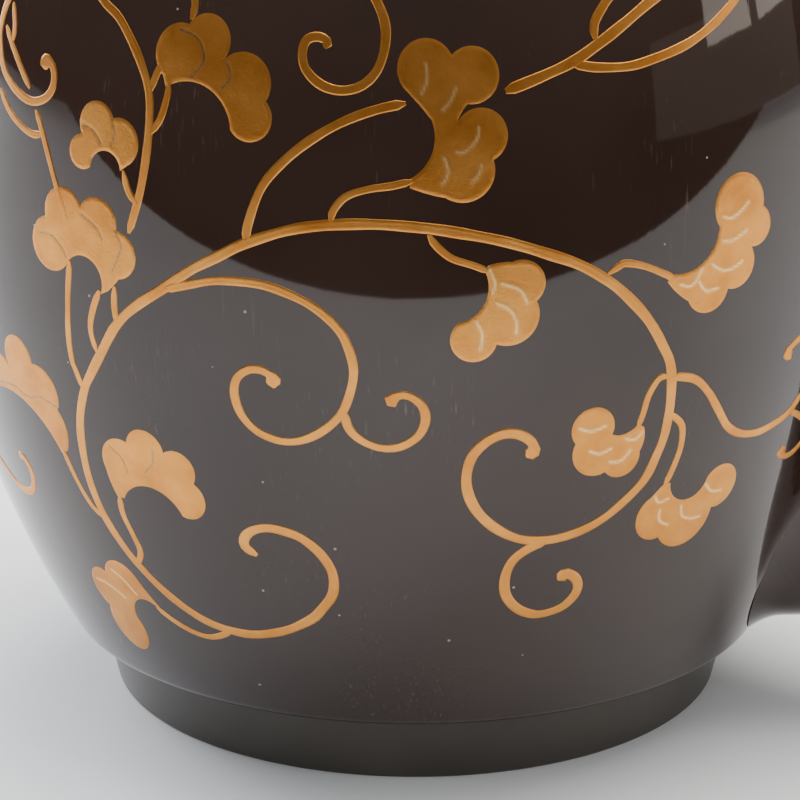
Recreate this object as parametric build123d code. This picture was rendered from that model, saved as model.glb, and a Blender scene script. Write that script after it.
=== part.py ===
"""Lidded lacquer hot-water ewer: a turned, round-bellied wooden vessel on a foot ring, with a curved spout,
a lift-off lid and a bail handle that swings on two gilt copper lugs.

Frame: +Z up, origin at the centre of the foot's resting face, spout towards +X, millimetres.
Every turned piece is a closed profile revolved about Z.
"""

from build123d import *
import os
from math import asin, cos, radians, sin, sqrt

# ---- Foot ring ----
foot_radius = 62.2           # at the resting face
foot_top_radius = 65.2       # where it meets the body
foot_height = 14.0
foot_wall = 7.0
foot_edge_round = 0.8
spigot_height = 3.0          # boss under the body that centres the foot ring

# ---- Body: a long wall arc that bulges to the belly, a small base arc and a shoulder arc ----
belly_radius = 95.5
belly_height = 108.0
wall_arc_radius = 188.0
base_arc_radius = 4.5
shoulder_arc_radius = 24.0
body_top = 173.0             # height of the flat top inside the shoulder
wall = 6.0
floor = 8.0
inner_base_round = 14.0
split_height = 150.0         # glue line between the lower shell and the shoulder ring
tongue_height = 4.0
tongue_width = 2.8
glue_gap = 0.05

# ---- Mouth and lid ----
mouth_radius = 56.0
rim_width = 6.0
rim_height = 3.5             # how far the rim stands above the body's flat top
rim_seat_depth = 2.0
lid_overhang = 2.5
lid_edge_height = 4.5
lid_dome_rise = 11.0
lid_thickness = 5.0
lid_play = 0.4
lid_flange_width = 4.0
lid_flange_depth = 8.0
lid_groove_depth = 1.5

# ---- Lid knob ----
knob_radius = 13.0
knob_height = 17.0
knob_neck_radius = 6.5
knob_foot_radius = 8.8
knob_neck_height = 5.5
knob_edge_height = 3.6
rosette_radius = 15.0
rosette_thickness = 1.2
peg_radius = 3.0
peg_in_knob = 9.0

# ---- Spout ----
spout_root_height = 40.5     # height of the centreline's first point
spout_inset = 12.0           # how far inside the wall surface the centreline starts
spout_length = 176.0
spout_headings = (-5.0, 42.0, 74.0, 76.0, 62.0)       # rise of the centreline in degrees, evenly along it
spout_half_widths = (27.8, 19.5, 13.6, 10.8, 10.2)    # outside, across the handle's plane, evenly along it
spout_half_heights = (23.2, 17.5, 12.8, 10.6, 10.2)   # outside, in the handle's plane
spout_bore_radii = (13.5, 11.5, 9.0, 7.6, 7.6)
spout_lip_height = 173.5     # level cut through the tip
port_radius = 13.5           # hole in the wall behind the spout
spout_sections = 13

# ---- Bail handle, lugs and pins ----
lug_tilt = 45.0              # direction of the lugs above level, out from the shoulder arc's centre
lug_reach = 11.0             # pivot above the shoulder surface
lug_base_radius = 8.0
lug_base_thickness = 1.6
lug_post_radius = 4.0
eye_radius = 5.2
eye_width = 5.2
stud_radius = 1.8
stud_play = 0.1
washer_radius = 5.0
washer_thickness = 1.0
washer_seat = 0.8
peen_radius = 2.7
peen_height = 0.9
seat_play = 0.05
pin_radius = 2.0
pin_play = 0.05              # running clearance in the eye
pin_head_radius = 3.4
pin_head_height = 1.4
cheek_play = 0.2             # each side of the eye
cheek_width = 2.7
cheek_radius = 5.5
fork_shank_depth = 6.8       # narrower than the cheeks, so that it clears the lug's post when the bail lies over
ferrule_bottom = 8.5         # above the pivot
ferrule_floor = 3.0
ferrule_length = 26.0
ferrule_wall = 1.5
bail_depth = 15.0            # along Y
bail_thickness = 8.0
bail_rise = 96.0             # centreline of the grip above the pivot
bail_corner_radius = 46.0
bail_edge_round = 2.5
socket_play = 0.1
rivet_radius = 1.2
rivet_head_radius = 2.2
rivet_head_height = 0.8

BIG = 400.0

# ---- Worked-out places ----
wall_centre_r = belly_radius - wall_arc_radius
base_centre_z = foot_height + base_arc_radius
base_lift = asin((belly_height - base_centre_z) / (wall_arc_radius - base_arc_radius))
base_centre_r = wall_centre_r + (wall_arc_radius - base_arc_radius) * cos(base_lift)
shoulder_centre_z = body_top - shoulder_arc_radius
shoulder_lift = asin((shoulder_centre_z - belly_height) / (wall_arc_radius - shoulder_arc_radius))
shoulder_centre_r = wall_centre_r + (wall_arc_radius - shoulder_arc_radius) * cos(shoulder_lift)
rim_top = body_top + rim_height
lid_radius = mouth_radius + rim_width + lid_overhang
lid_flange_radius = mouth_radius - lid_play


def wall_r(z, inset=0.0):
    """Radius of the wall arc, or of the surface `inset` inside it, at height z."""
    return wall_centre_r + sqrt((wall_arc_radius - inset) ** 2 - (z - belly_height) ** 2)


def arc_point(centre_r, centre_z, radius, lift):
    """Point of a profile arc; lift is radians above level."""
    return (centre_r + radius * cos(lift), centre_z + radius * sin(lift))


def turned(edges):
    """Solid of revolution about Z from profile edges in (r, z)."""
    outline = Wire([Plane.XZ * edge for edge in edges])
    return revolve(Face(outline), Axis.Z, 360)


def chain(*points):
    """Straight edges through the points, in (r, z)."""
    return [Line(a, b) for a, b in zip(points, points[1:])]


def ring(inner, outer, low, high):
    """Plain turned ring about Z."""
    return turned(chain((inner, low), (outer, low), (outer, high), (inner, high), (inner, low)))


def drum(radius, low, high):
    """Plain cylinder about Z."""
    return Pos(0, 0, low) * extrude(Circle(radius), high - low)


# ---- Body ----
def outer_wall_arc(low_z, high_z, inset=0.0):
    """Part of the wall arc between two heights, at `inset` inside the outer surface."""
    mid_z = (low_z + high_z) / 2
    return ThreePointArc(
        (wall_r(low_z, inset), low_z), (wall_r(mid_z, inset), mid_z), (wall_r(high_z, inset), high_z)
    )


def body_outline_solid(top):
    """Everything inside the outer surface below height `top`, used to trim what meets the body."""
    base_start = (base_centre_r, foot_height)
    base_end = arc_point(base_centre_r, base_centre_z, base_arc_radius, -base_lift)
    base_mid = arc_point(base_centre_r, base_centre_z, base_arc_radius, (-base_lift - radians(90)) / 2)
    edges = [
        Line((0, foot_height), base_start),
        ThreePointArc(base_start, base_mid, base_end),
        outer_wall_arc(base_end[1], top),
        Line((wall_r(top), top), (0, top)),
        Line((0, top), (0, foot_height)),
    ]
    return turned(edges)


def body_hollow(top):
    """The space inside the lower shell, with a rounded corner where wall meets floor."""
    floor_top = foot_height + floor
    inner_arc = wall_arc_radius - wall
    corner_z = floor_top + inner_base_round
    corner_lift = asin((belly_height - corner_z) / (inner_arc - inner_base_round))
    corner_r = wall_centre_r + (inner_arc - inner_base_round) * cos(corner_lift)
    corner_end = arc_point(corner_r, corner_z, inner_base_round, -corner_lift)
    corner_mid = arc_point(corner_r, corner_z, inner_base_round, (-corner_lift - radians(90)) / 2)
    edges = [
        Line((0, floor_top), (corner_r, floor_top)),
        ThreePointArc((corner_r, floor_top), corner_mid, corner_end),
        outer_wall_arc(corner_end[1], top, wall),
        Line((wall_r(top, wall), top), (0, top)),
        Line((0, top), (0, floor_top)),
    ]
    return turned(edges)


def tongue_radius():
    """Outer radius of the shoulder ring's tongue, which plugs into the shell."""
    return wall_r(split_height, wall) + tongue_width


def make_body_shell():
    shell = body_outline_solid(split_height) - body_hollow(split_height)
    rabbet = ring(1.0, tongue_radius() + glue_gap, split_height - tongue_height - glue_gap, split_height + 1)
    port = spout_start() * Rot(0, 90 - spout_headings[0], 0) * extrude(Circle(port_radius), BIG / 4)
    spigot = drum(foot_radius - foot_wall - glue_gap, foot_height - spigot_height, foot_height)
    relief = drum(foot_radius - 2 * foot_wall, foot_height - spigot_height - 1, foot_height)
    return shell - rabbet - port + (spigot - relief)


def make_foot_ring():
    inner = foot_radius - foot_wall
    foot = turned(
        chain((inner, 0), (foot_radius, 0), (foot_top_radius, foot_height), (inner, foot_height), (inner, 0))
    )
    return fillet(foot.edges().filter_by(GeomType.CIRCLE).group_by(Axis.Z)[0], foot_edge_round)


def make_shoulder_ring():
    """Upper wall and shoulder down to the glue line, its flat top open at the mouth."""
    arc_start = arc_point(shoulder_centre_r, shoulder_centre_z, shoulder_arc_radius, shoulder_lift)
    arc_mid = arc_point(
        shoulder_centre_r, shoulder_centre_z, shoulder_arc_radius, (shoulder_lift + radians(90)) / 2
    )
    arc_end = (shoulder_centre_r, body_top)
    inner_arc = shoulder_arc_radius - wall
    in_start = arc_point(shoulder_centre_r, shoulder_centre_z, inner_arc, shoulder_lift)
    in_mid = arc_point(shoulder_centre_r, shoulder_centre_z, inner_arc, (shoulder_lift + radians(90)) / 2)
    in_end = (shoulder_centre_r, body_top - wall)
    edges = [
        outer_wall_arc(split_height, arc_start[1]),
        ThreePointArc(arc_start, arc_mid, arc_end),
        *chain(arc_end, (mouth_radius, body_top), (mouth_radius, body_top - wall), in_end),
        ThreePointArc(in_end, in_mid, in_start),
        outer_wall_arc(in_start[1], split_height, wall),
        Line((wall_r(split_height, wall), split_height), (wall_r(split_height), split_height)),
    ]
    tongue_low = split_height - tongue_height
    tongue = ring(wall_r(split_height, wall), tongue_radius(), tongue_low, split_height)
    seat = ring(mouth_radius - 1, mouth_radius + rim_width, body_top - rim_seat_depth, body_top + 1)
    body = turned(edges) + tongue - seat
    for side in (1, -1):
        body = body - lug_frame(side) * lug_cutouts()
    return body


def make_mouth_rim():
    rim = ring(mouth_radius, mouth_radius + rim_width - glue_gap, body_top - rim_seat_depth, rim_top)
    return fillet(rim.edges().group_by(Axis.Z)[-1], rim_width / 6)


# ---- Spout ----
def spout_start():
    """Location of the centreline's first point, inside the wall."""
    return Pos(wall_r(spout_root_height) - spout_inset, 0, spout_root_height)


def between(values, share):
    """Smooth value at a share 0..1 along evenly spaced values (Catmull-Rom)."""
    span = share * (len(values) - 1)
    index = min(int(span), len(values) - 2)
    t = span - index
    a = values[max(index - 1, 0)]
    b = values[index]
    c = values[index + 1]
    d = values[min(index + 2, len(values) - 1)]
    return b + 0.5 * t * (c - a + t * (2 * a - 5 * b + 4 * c - d + t * (3 * (b - c) + d - a)))


def spout_planes():
    """(share, plane square to the centreline) at even steps, by summing short chords along the headings."""
    steps = 240
    x = wall_r(spout_root_height) - spout_inset
    z = spout_root_height
    planes = []
    for step in range(steps + 1):
        share = step / steps
        heading = radians(between(spout_headings, share))
        if step % (steps // (spout_sections - 1)) == 0:
            direction = (cos(heading), 0, sin(heading))
            planes.append((share, Plane(origin=(x, 0, z), x_dir=(0, 1, 0), z_dir=direction)))
        x += spout_length / steps * cos(heading)
        z += spout_length / steps * sin(heading)
    return planes


def spout_skin(half_widths, half_heights):
    """Solid lofted through oval sections along the centreline."""
    sections = []
    for share, plane in spout_planes():
        sections.append(plane * Ellipse(between(half_widths, share), between(half_heights, share)))
    return loft(sections)


def make_spout_halves():
    """Tapered, curved tube, carved as two mirrored halves and glued on the plane of the handle."""
    outside = spout_skin(spout_half_widths, spout_half_heights)
    bore = spout_skin(spout_bore_radii, spout_bore_radii)
    tube = outside - bore
    tube = tube - body_outline_solid(split_height)
    above = Pos(0, 0, spout_lip_height + BIG / 2) * Box(BIG * 2, BIG, BIG)
    tube = tube - above
    halves = []
    for side in (-1, 1):
        keep = Pos(0, side * BIG / 2, 0) * Box(BIG * 2, BIG, BIG * 2)
        halves.append(tube & keep)
    return halves


# ---- Lid ----
def make_lid_plate():
    """Shallow dome with an upright edge; the hollow underneath follows the dome."""
    edge_top = rim_top + lid_edge_height
    crown = rim_top + lid_edge_height + lid_dome_rise
    half_span = lid_radius
    dome_radius = (half_span**2 + lid_dome_rise**2) / (2 * lid_dome_rise)
    dome_centre_z = crown - dome_radius
    mid_r = half_span / 2
    inner_dome = dome_radius - lid_thickness
    hollow_r = lid_flange_radius - lid_flange_width
    outer = turned(
        [
            *chain((0, rim_top), (lid_radius, rim_top), (lid_radius, edge_top)),
            ThreePointArc(
                (lid_radius, edge_top),
                (mid_r, dome_centre_z + sqrt(dome_radius**2 - mid_r**2)),
                (0, crown),
            ),
            Line((0, crown), (0, rim_top)),
        ]
    )
    hollow_edge_z = dome_centre_z + sqrt(inner_dome**2 - hollow_r**2)
    hollow_mid_z = dome_centre_z + sqrt(inner_dome**2 - (hollow_r / 2) ** 2)
    hollow = turned(
        [
            *chain((0, rim_top - 1), (hollow_r, rim_top - 1), (hollow_r, hollow_edge_z)),
            ThreePointArc((hollow_r, hollow_edge_z), (hollow_r / 2, hollow_mid_z), (0, crown - lid_thickness)),
            Line((0, crown - lid_thickness), (0, rim_top - 1)),
        ]
    )
    groove = ring(hollow_r - 1, lid_flange_radius, rim_top - 1, rim_top + lid_groove_depth)
    seat = drum(rosette_radius + glue_gap, lid_crown() - rosette_sink(), crown + 1)
    peg_hole = drum(peg_radius + glue_gap, rim_top, crown + 1)
    plate = outer - hollow - groove - seat - peg_hole
    rims = plate.edges().filter_by(GeomType.CIRCLE)
    outer_rims = [e for e in rims if abs(e.radius - lid_radius) < 0.01]
    return fillet(outer_rims, lid_edge_height / 4)


def lid_crown():
    return rim_top + lid_edge_height + lid_dome_rise


def rosette_sink():
    """Depth of the flat seat cut into the dome for the rosette."""
    dome_radius = (lid_radius**2 + lid_dome_rise**2) / (2 * lid_dome_rise)
    return dome_radius - sqrt(dome_radius**2 - rosette_radius**2) + rosette_thickness / 2


def make_lid_flange():
    inner = lid_flange_radius - lid_flange_width
    low = rim_top - lid_flange_depth
    flange = ring(inner, lid_flange_radius - glue_gap, low, rim_top + lid_groove_depth)
    return fillet(flange.edges().group_by(Axis.Z)[0], lid_flange_width / 5)


def make_knob_rosette():
    low = lid_crown() - rosette_sink()
    plate = drum(rosette_radius, low, low + rosette_thickness)
    plate = fillet(plate.edges().group_by(Axis.Z)[-1], rosette_thickness / 2)
    return plate - drum(peg_radius + glue_gap, low - 1, low + rosette_thickness + 1)


def make_lid_knob():
    """Mushroom knob: a waisted neck under a round cap with a rolled edge."""
    low = lid_crown() - rosette_sink() + rosette_thickness
    neck_top = low + knob_neck_height
    edge_top = neck_top + knob_edge_height
    top = low + knob_height
    cap_rise = top - edge_top
    cap_sphere = (knob_radius**2 + cap_rise**2) / (2 * cap_rise)
    half_r = knob_radius / 2
    half_z = top - cap_sphere + sqrt(cap_sphere**2 - half_r**2)
    knob = turned(
        [
            Line((0, low), (knob_foot_radius, low)),
            ThreePointArc(
                (knob_foot_radius, low),
                (knob_neck_radius, low + knob_neck_height / 2),
                (knob_foot_radius, neck_top),
            ),
            *chain((knob_foot_radius, neck_top), (knob_radius, neck_top), (knob_radius, edge_top)),
            ThreePointArc((knob_radius, edge_top), (half_r, half_z), (0, top)),
            Line((0, top), (0, low)),
        ]
    )
    edges = [e for e in knob.edges().filter_by(GeomType.CIRCLE) if abs(e.radius - knob_radius) < 0.01]
    knob = fillet(edges, knob_edge_height * 0.45)
    return knob - drum(peg_radius + glue_gap, low - 1, low + peg_in_knob)


def make_knob_peg():
    low = lid_crown() - lid_thickness
    high = lid_crown() - rosette_sink() + rosette_thickness + peg_in_knob - glue_gap
    return drum(peg_radius, low, high)


# ---- Lugs ----
def lug_frame(side):
    """Frame on the shoulder surface whose local Z runs out along the lug; side is +1 at the spout, -1 behind."""
    tilt = radians(lug_tilt)
    x = shoulder_centre_r + shoulder_arc_radius * cos(tilt)
    z = shoulder_centre_z + shoulder_arc_radius * sin(tilt)
    return Location(Plane(origin=(side * x, 0, z), x_dir=(0, 1, 0), z_dir=(side * cos(tilt), 0, sin(tilt))))


def lug_cutouts():
    """What the shoulder ring loses for one lug: a flat seat, a stud hole and a washer seat inside."""
    seat = drum(lug_base_radius + seat_play, -lug_base_thickness, lug_reach)
    hole = drum(stud_radius + stud_play, -wall - 1, 0)
    inner_seat = drum(washer_radius + seat_play, -wall - 5, washer_seat - wall)
    return seat + hole + inner_seat


def pivot_x():
    tilt = radians(lug_tilt)
    return shoulder_centre_r + (shoulder_arc_radius + lug_reach) * cos(tilt)


def pivot_z():
    tilt = radians(lug_tilt)
    return shoulder_centre_z + (shoulder_arc_radius + lug_reach) * sin(tilt)


def along_x(radius, centre_x, width):
    """Cylinder along X through the pivot height, centred on centre_x."""
    return Pos(centre_x - width / 2, 0, pivot_z()) * Rot(0, 90, 0) * extrude(Circle(radius), width)


def make_lug(side):
    base = drum(lug_base_radius, -lug_base_thickness, 0)
    base = fillet(base.edges().group_by(Axis.Z)[-1], lug_base_thickness / 3)
    post = drum(lug_post_radius, -lug_base_thickness / 2, lug_reach - eye_radius / 2)
    stud = drum(stud_radius, -wall + washer_seat - washer_thickness - peen_height, 0)
    peen_top = -wall + washer_seat - washer_thickness
    peen = drum(peen_radius, peen_top - peen_height, peen_top)
    eye = along_x(eye_radius, side * pivot_x(), eye_width)
    keep = along_x(eye_radius * 1.6, side * pivot_x(), eye_width)
    shank = lug_frame(side) * (base + stud + peen)
    post = lug_frame(side) * post
    trimmed_post = post - (along_x(cheek_radius + cheek_play, side * pivot_x(), BIG / 10) - keep)
    return shank + trimmed_post + eye - along_x(pin_radius + pin_play, side * pivot_x(), eye_width + 2)


def make_lug_washer(side):
    low = washer_seat - wall - washer_thickness
    plate = drum(washer_radius, low, washer_seat - wall)
    return lug_frame(side) * (plate - drum(stud_radius + stud_play / 2, low - 1, 1))


# ---- Bail ----
def bail_path():
    """Up one leg, round a corner, across the grip and down the other leg."""
    foot_z = pivot_z() + ferrule_bottom + ferrule_floor
    top_z = pivot_z() + bail_rise
    x = pivot_x()
    return FilletPolyline((x, 0, foot_z), (x, 0, top_z), (-x, 0, top_z), (-x, 0, foot_z), radius=bail_corner_radius)


def make_bail_arch():
    path = bail_path()
    section = Plane(origin=path @ 0, x_dir=(1, 0, 0), z_dir=path % 0) * RectangleRounded(
        bail_thickness, bail_depth, bail_edge_round
    )
    arch = sweep(section, path=path)
    for side in (1, -1):
        arch = arch - rivet_hole(side)
    return arch


def rivet_z():
    return pivot_z() + ferrule_bottom + ferrule_floor + (ferrule_length - ferrule_floor) * 0.55


def along_y(radius, x, z, low, high):
    return Pos(x, low, z) * Rot(-90, 0, 0) * extrude(Circle(radius), high - low)


def rivet_hole(side):
    reach = bail_depth
    return along_y(rivet_radius + socket_play / 2, side * pivot_x(), rivet_z(), -reach, reach)


def ferrule_half_depth():
    return bail_depth / 2 + socket_play + ferrule_wall


def make_ferrule(side):
    """Copper socket on the end of the arch, with a fork that straddles the lug's eye."""
    x = side * pivot_x()
    thickness = bail_thickness + 2 * (socket_play + ferrule_wall)
    depth = 2 * ferrule_half_depth()
    corner = bail_edge_round + ferrule_wall
    low = pivot_z() + ferrule_bottom
    block = Pos(x, 0, low) * extrude(RectangleRounded(thickness, depth, corner), ferrule_length)
    socket = Pos(x, 0, low + ferrule_floor) * extrude(
        RectangleRounded(bail_thickness + 2 * socket_play, bail_depth + 2 * socket_play, bail_edge_round),
        ferrule_length,
    )
    fork_width = eye_width + 2 * (cheek_play + cheek_width)
    fork = along_x(cheek_radius, x, fork_width)
    fork += Pos(x, 0, pivot_z() + ferrule_bottom / 2) * Box(fork_width, fork_shank_depth, ferrule_bottom + 0.5)
    gap = along_x(ferrule_bottom - 0.8, x, eye_width + 2 * cheek_play)
    pin_hole = along_x(pin_radius, x, fork_width + 2)
    return block + fork - gap - socket - pin_hole - rivet_hole(side)


def make_hinge_pin(side):
    """Pin through the fork and the eye, headed at both ends."""
    x = side * pivot_x()
    half = eye_width / 2 + cheek_play + cheek_width
    pin = along_x(pin_radius, x, 2 * half)
    for end in (1, -1):
        head = along_x(pin_head_radius, x + end * (half + pin_head_height / 2), pin_head_height)
        outer = head.edges().group_by(Axis.X)[-1 if end > 0 else 0]
        pin += fillet(outer, pin_head_height * 0.6)
    return pin


def make_ferrule_rivets():
    """The two cross rivets, one through each ferrule and the arch's end."""
    pieces = []
    half = ferrule_half_depth()
    for side in (1, -1):
        x = side * pivot_x()
        rivet = along_y(rivet_radius, x, rivet_z(), -half, half)
        rivet += along_y(rivet_head_radius, x, rivet_z(), half, half + rivet_head_height)
        rivet += along_y(rivet_head_radius, x, rivet_z(), -half - rivet_head_height, -half)
        pieces.append(rivet)
    return Compound(children=[Solid(p.solid().wrapped) for p in pieces])


def save(name, shape):
    export_step(shape, f"parts/{name}.step")


os.makedirs("parts", exist_ok=True)
near_half, far_half = make_spout_halves()
save("foot_ring", make_foot_ring())
save("body_shell", make_body_shell())
save("shoulder_ring", make_shoulder_ring())
save("mouth_rim", make_mouth_rim())
save("spout_near_half", near_half)
save("spout_far_half", far_half)
save("lid_plate", make_lid_plate())
save("lid_flange", make_lid_flange())
save("knob_rosette", make_knob_rosette())
save("lid_knob", make_lid_knob())
save("knob_peg", make_knob_peg())
for side, place in ((1, "front"), (-1, "rear")):
    save(f"lug_{place}", make_lug(side))
    save(f"lug_washer_{place}", make_lug_washer(side))
    save(f"ferrule_{place}", make_ferrule(side))
    save(f"hinge_pin_{place}", make_hinge_pin(side))
save("bail_arch", make_bail_arch())
save("ferrule_rivets", make_ferrule_rivets())
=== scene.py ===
"""Lidded lacquer hot-water ewer with gold vine scrolls, for Blender 4.5.

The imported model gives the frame. Every piece here is worked out in millimetres in that same frame: +Z up,
origin under the middle of the foot, spout towards +X. A direction round the body is an azimuth in degrees,
from -Y towards +X.
"""
import math

import bmesh
import bpy
import mathutils
import numpy as np
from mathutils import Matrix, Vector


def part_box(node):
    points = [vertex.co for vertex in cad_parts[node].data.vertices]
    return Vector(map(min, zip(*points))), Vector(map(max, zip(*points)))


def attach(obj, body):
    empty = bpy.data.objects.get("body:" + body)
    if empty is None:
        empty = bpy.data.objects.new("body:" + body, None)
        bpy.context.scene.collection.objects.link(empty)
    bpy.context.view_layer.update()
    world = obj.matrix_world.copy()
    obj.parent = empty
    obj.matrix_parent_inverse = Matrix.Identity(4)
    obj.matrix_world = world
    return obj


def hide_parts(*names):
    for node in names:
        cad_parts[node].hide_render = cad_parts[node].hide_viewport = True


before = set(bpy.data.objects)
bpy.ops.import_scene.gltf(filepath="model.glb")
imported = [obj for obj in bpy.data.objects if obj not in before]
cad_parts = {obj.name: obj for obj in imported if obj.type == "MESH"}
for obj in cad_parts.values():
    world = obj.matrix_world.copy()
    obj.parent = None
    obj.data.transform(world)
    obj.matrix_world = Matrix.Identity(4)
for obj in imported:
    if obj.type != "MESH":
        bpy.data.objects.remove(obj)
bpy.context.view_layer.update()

# ---------------------------------------------------------------------------------------------------------
# Stage. A white table top that ends a little way in front of the ewer, in a dim room: polished lacquer is a
# mirror, and it shows the table low on the belly and the dark room above it. Soft daylight from the left.
# ---------------------------------------------------------------------------------------------------------
mm = 0.001
camera_azimuth = 13.0
camera_distance = 571.4      # from the ewer's axis, level
camera_height = 240.0
camera_dip = 17.76           # degrees below level
table_front = 408.0          # from the ewer's axis to the table's near edge
table_reach = 2600.0
table_half = 4200.0


def linear(hex_colour):
    """sRGB hex to the linear RGBA that sockets take: the sRGB curve undone for each channel."""
    channels = np.array([int(hex_colour[i:i + 2], 16) for i in (1, 3, 5)]) / 255
    low = channels / 12.92
    high = ((channels + 0.055) / 1.055) ** 2.4
    return (*np.where(channels <= 0.04045, low, high).tolist(), 1.0)


def node(tree, kind, settings=None, links=None, **inputs):
    """Adds a node: settings are its properties, inputs its sockets' values, links their sources."""
    made = tree.nodes.new(kind)
    for name, value in (settings or {}).items():
        setattr(made, name, value)
    for name, value in inputs.items():
        made.inputs[name.replace("_", " ")].default_value = value
    for name, source in (links or {}).items():
        tree.links.new(source, made.inputs[name])
    return made


def new_material(name):
    """An empty node material: (material, tree, output node)."""
    material = bpy.data.materials.new(name)
    material.use_nodes = True
    tree = material.node_tree
    tree.nodes.clear()
    return material, tree, tree.nodes.new("ShaderNodeOutputMaterial")


def turned_about_z(points, degrees):
    """Points (..., 3) turned about Z, anticlockwise seen from above."""
    angle = math.radians(degrees)
    turn = np.array(
        [[math.cos(angle), -math.sin(angle), 0], [math.sin(angle), math.cos(angle), 0], [0, 0, 1]]
    )
    return np.asarray(points, float) @ turn.T


camera_data = bpy.data.cameras.new("camera")
camera_data.sensor_width = 36.0
camera_data.lens = 132.4
camera_data.shift_x = -0.0196
camera_data.shift_y = -0.010
camera = bpy.data.objects.new("camera", camera_data)
camera.location = turned_about_z((0, -camera_distance * mm, camera_height * mm), camera_azimuth)
camera.rotation_euler = (math.radians(90 - camera_dip), 0, math.radians(camera_azimuth))
bpy.context.scene.collection.objects.link(camera)
bpy.context.scene.camera = camera

table_corners = turned_about_z(
    np.array(
        [
            (-table_half, -table_front, 0),
            (table_half, -table_front, 0),
            (table_half, table_reach, 0),
            (-table_half, table_reach, 0),
        ]
    )
    * mm,
    camera_azimuth,
)
table_mesh = bpy.data.meshes.new("table_top")
table_mesh.from_pydata(table_corners.tolist(), [], [(0, 1, 2, 3)])
table = bpy.data.objects.new("table_top", table_mesh)
bpy.context.scene.collection.objects.link(table)

# White table top, lightly uneven in tone as a painted board is.
table_paint, tree, output = new_material("white_painted_table")
coords = node(tree, "ShaderNodeTexCoord")
blotch = node(tree, "ShaderNodeTexNoise", links={"Vector": coords.outputs["Object"]}, Scale=9.0, Detail=3.0)
tone = node(tree, "ShaderNodeValToRGB", links={"Fac": blotch.outputs["Fac"]})
tone.color_ramp.elements[0].color = linear("#E6E8EA")
tone.color_ramp.elements[1].color = linear("#F6F7F8")
paint = node(tree, "ShaderNodeBsdfPrincipled", links={"Base Color": tone.outputs["Color"]}, Roughness=0.55)
tree.links.new(paint.outputs["BSDF"], output.inputs["Surface"])
table_mesh.materials.append(table_paint)


def soft_box(name, place, aim, size, power, colour):
    """A square area light at place, turned to face aim, both in metres."""
    data = bpy.data.lights.new(name, "AREA")
    data.shape = "RECTANGLE"
    data.size, data.size_y = size
    data.energy = power
    data.color = linear(colour)[:3]
    light = bpy.data.objects.new(name, data)
    light.location = place
    towards = mathutils.Vector(aim) - mathutils.Vector(place)
    light.rotation_euler = towards.to_track_quat("-Z", "Y").to_euler()
    bpy.context.scene.collection.objects.link(light)


def round_the_ewer(degrees, distance, height):
    """A place in metres: `degrees` from -Y towards +X, at a level distance and a height."""
    angle = math.radians(degrees)
    return (distance * math.sin(angle), -distance * math.cos(angle), height)


chest = (0.0, 0.0, 0.12)     # what the windows face
soft_box("window_left", round_the_ewer(-122, 2.0, 0.85), chest, (1.3, 1.5), 80.0, "#F4F7FF")
soft_box("ceiling", (0.3, 0.6, 2.1), (0, 0, 0), (2.4, 2.4), 112.0, "#FFFCF7")
for window_pane, turn in (("window_pane_near", 88.5), ("window_pane_far", 104.0)):
    soft_box(window_pane, round_the_ewer(turn, 2.0, 0.66), chest, (0.48, 0.62), 3.2, "#FFF4E6")
soft_box("sill_right", round_the_ewer(88.0, 2.0, 0.26), chest, (1.55, 0.40), 0.75, "#FFF4E6")

# The room: pale walls light everything evenly, while polished lacquer mirrors a dim room that grows paler
# overhead.
world = bpy.data.worlds.new("room")
bpy.context.scene.world = world
world.use_nodes = True
tree = world.node_tree
tree.nodes.clear()
seen = node(tree, "ShaderNodeLightPath")
facing = node(tree, "ShaderNodeTexCoord")
split = node(tree, "ShaderNodeSeparateXYZ", links={"Vector": facing.outputs["Generated"]})
height_tone = node(tree, "ShaderNodeValToRGB", links={"Fac": split.outputs["Z"]})
height_tone.color_ramp.elements[0].position = 0.0
height_tone.color_ramp.elements[0].color = linear("#43352F")
height_tone.color_ramp.elements[1].position = 0.6
height_tone.color_ramp.elements[1].color = linear("#9A9894")
backdrop = node(
    tree,
    "ShaderNodeMixRGB",
    links={"Fac": seen.outputs["Is Glossy Ray"], "Color2": height_tone.outputs["Color"]},
    Color1=linear("#E6E8EA"),
)
room = node(tree, "ShaderNodeBackground", links={"Color": backdrop.outputs["Color"]}, Strength=1.0)
node(tree, "ShaderNodeOutputWorld", links={"Surface": room.outputs["Background"]})

# ---------------------------------------------------------------------------------------------------------
# Foot ring. Turned from one ring of wood, lacquered black and left satin, glued under the body. Its resting
# edge is rounded and rubbed dull by tables.
# ---------------------------------------------------------------------------------------------------------
foot_high = np.array(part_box("foot_ring")[1]) / mm
foot_radius = 62.2
foot_top_radius = float(foot_high[0])
foot_height = float(foot_high[2])
foot_inner = 55.2
foot_edge = 0.8
around = 288                 # steps round every turned piece


def link_piece(name, mesh, material, body, slot, *nodes):
    """Puts a finished mesh into the scene as a piece that rides on a body and stands for CAD nodes."""
    for one in material if isinstance(material, (list, tuple)) else [material]:
        mesh.materials.append(one)
    piece = bpy.data.objects.new(name, mesh)
    bpy.context.scene.collection.objects.link(piece)
    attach(piece, body)
    if nodes:
        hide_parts(*nodes)
    return piece


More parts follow.
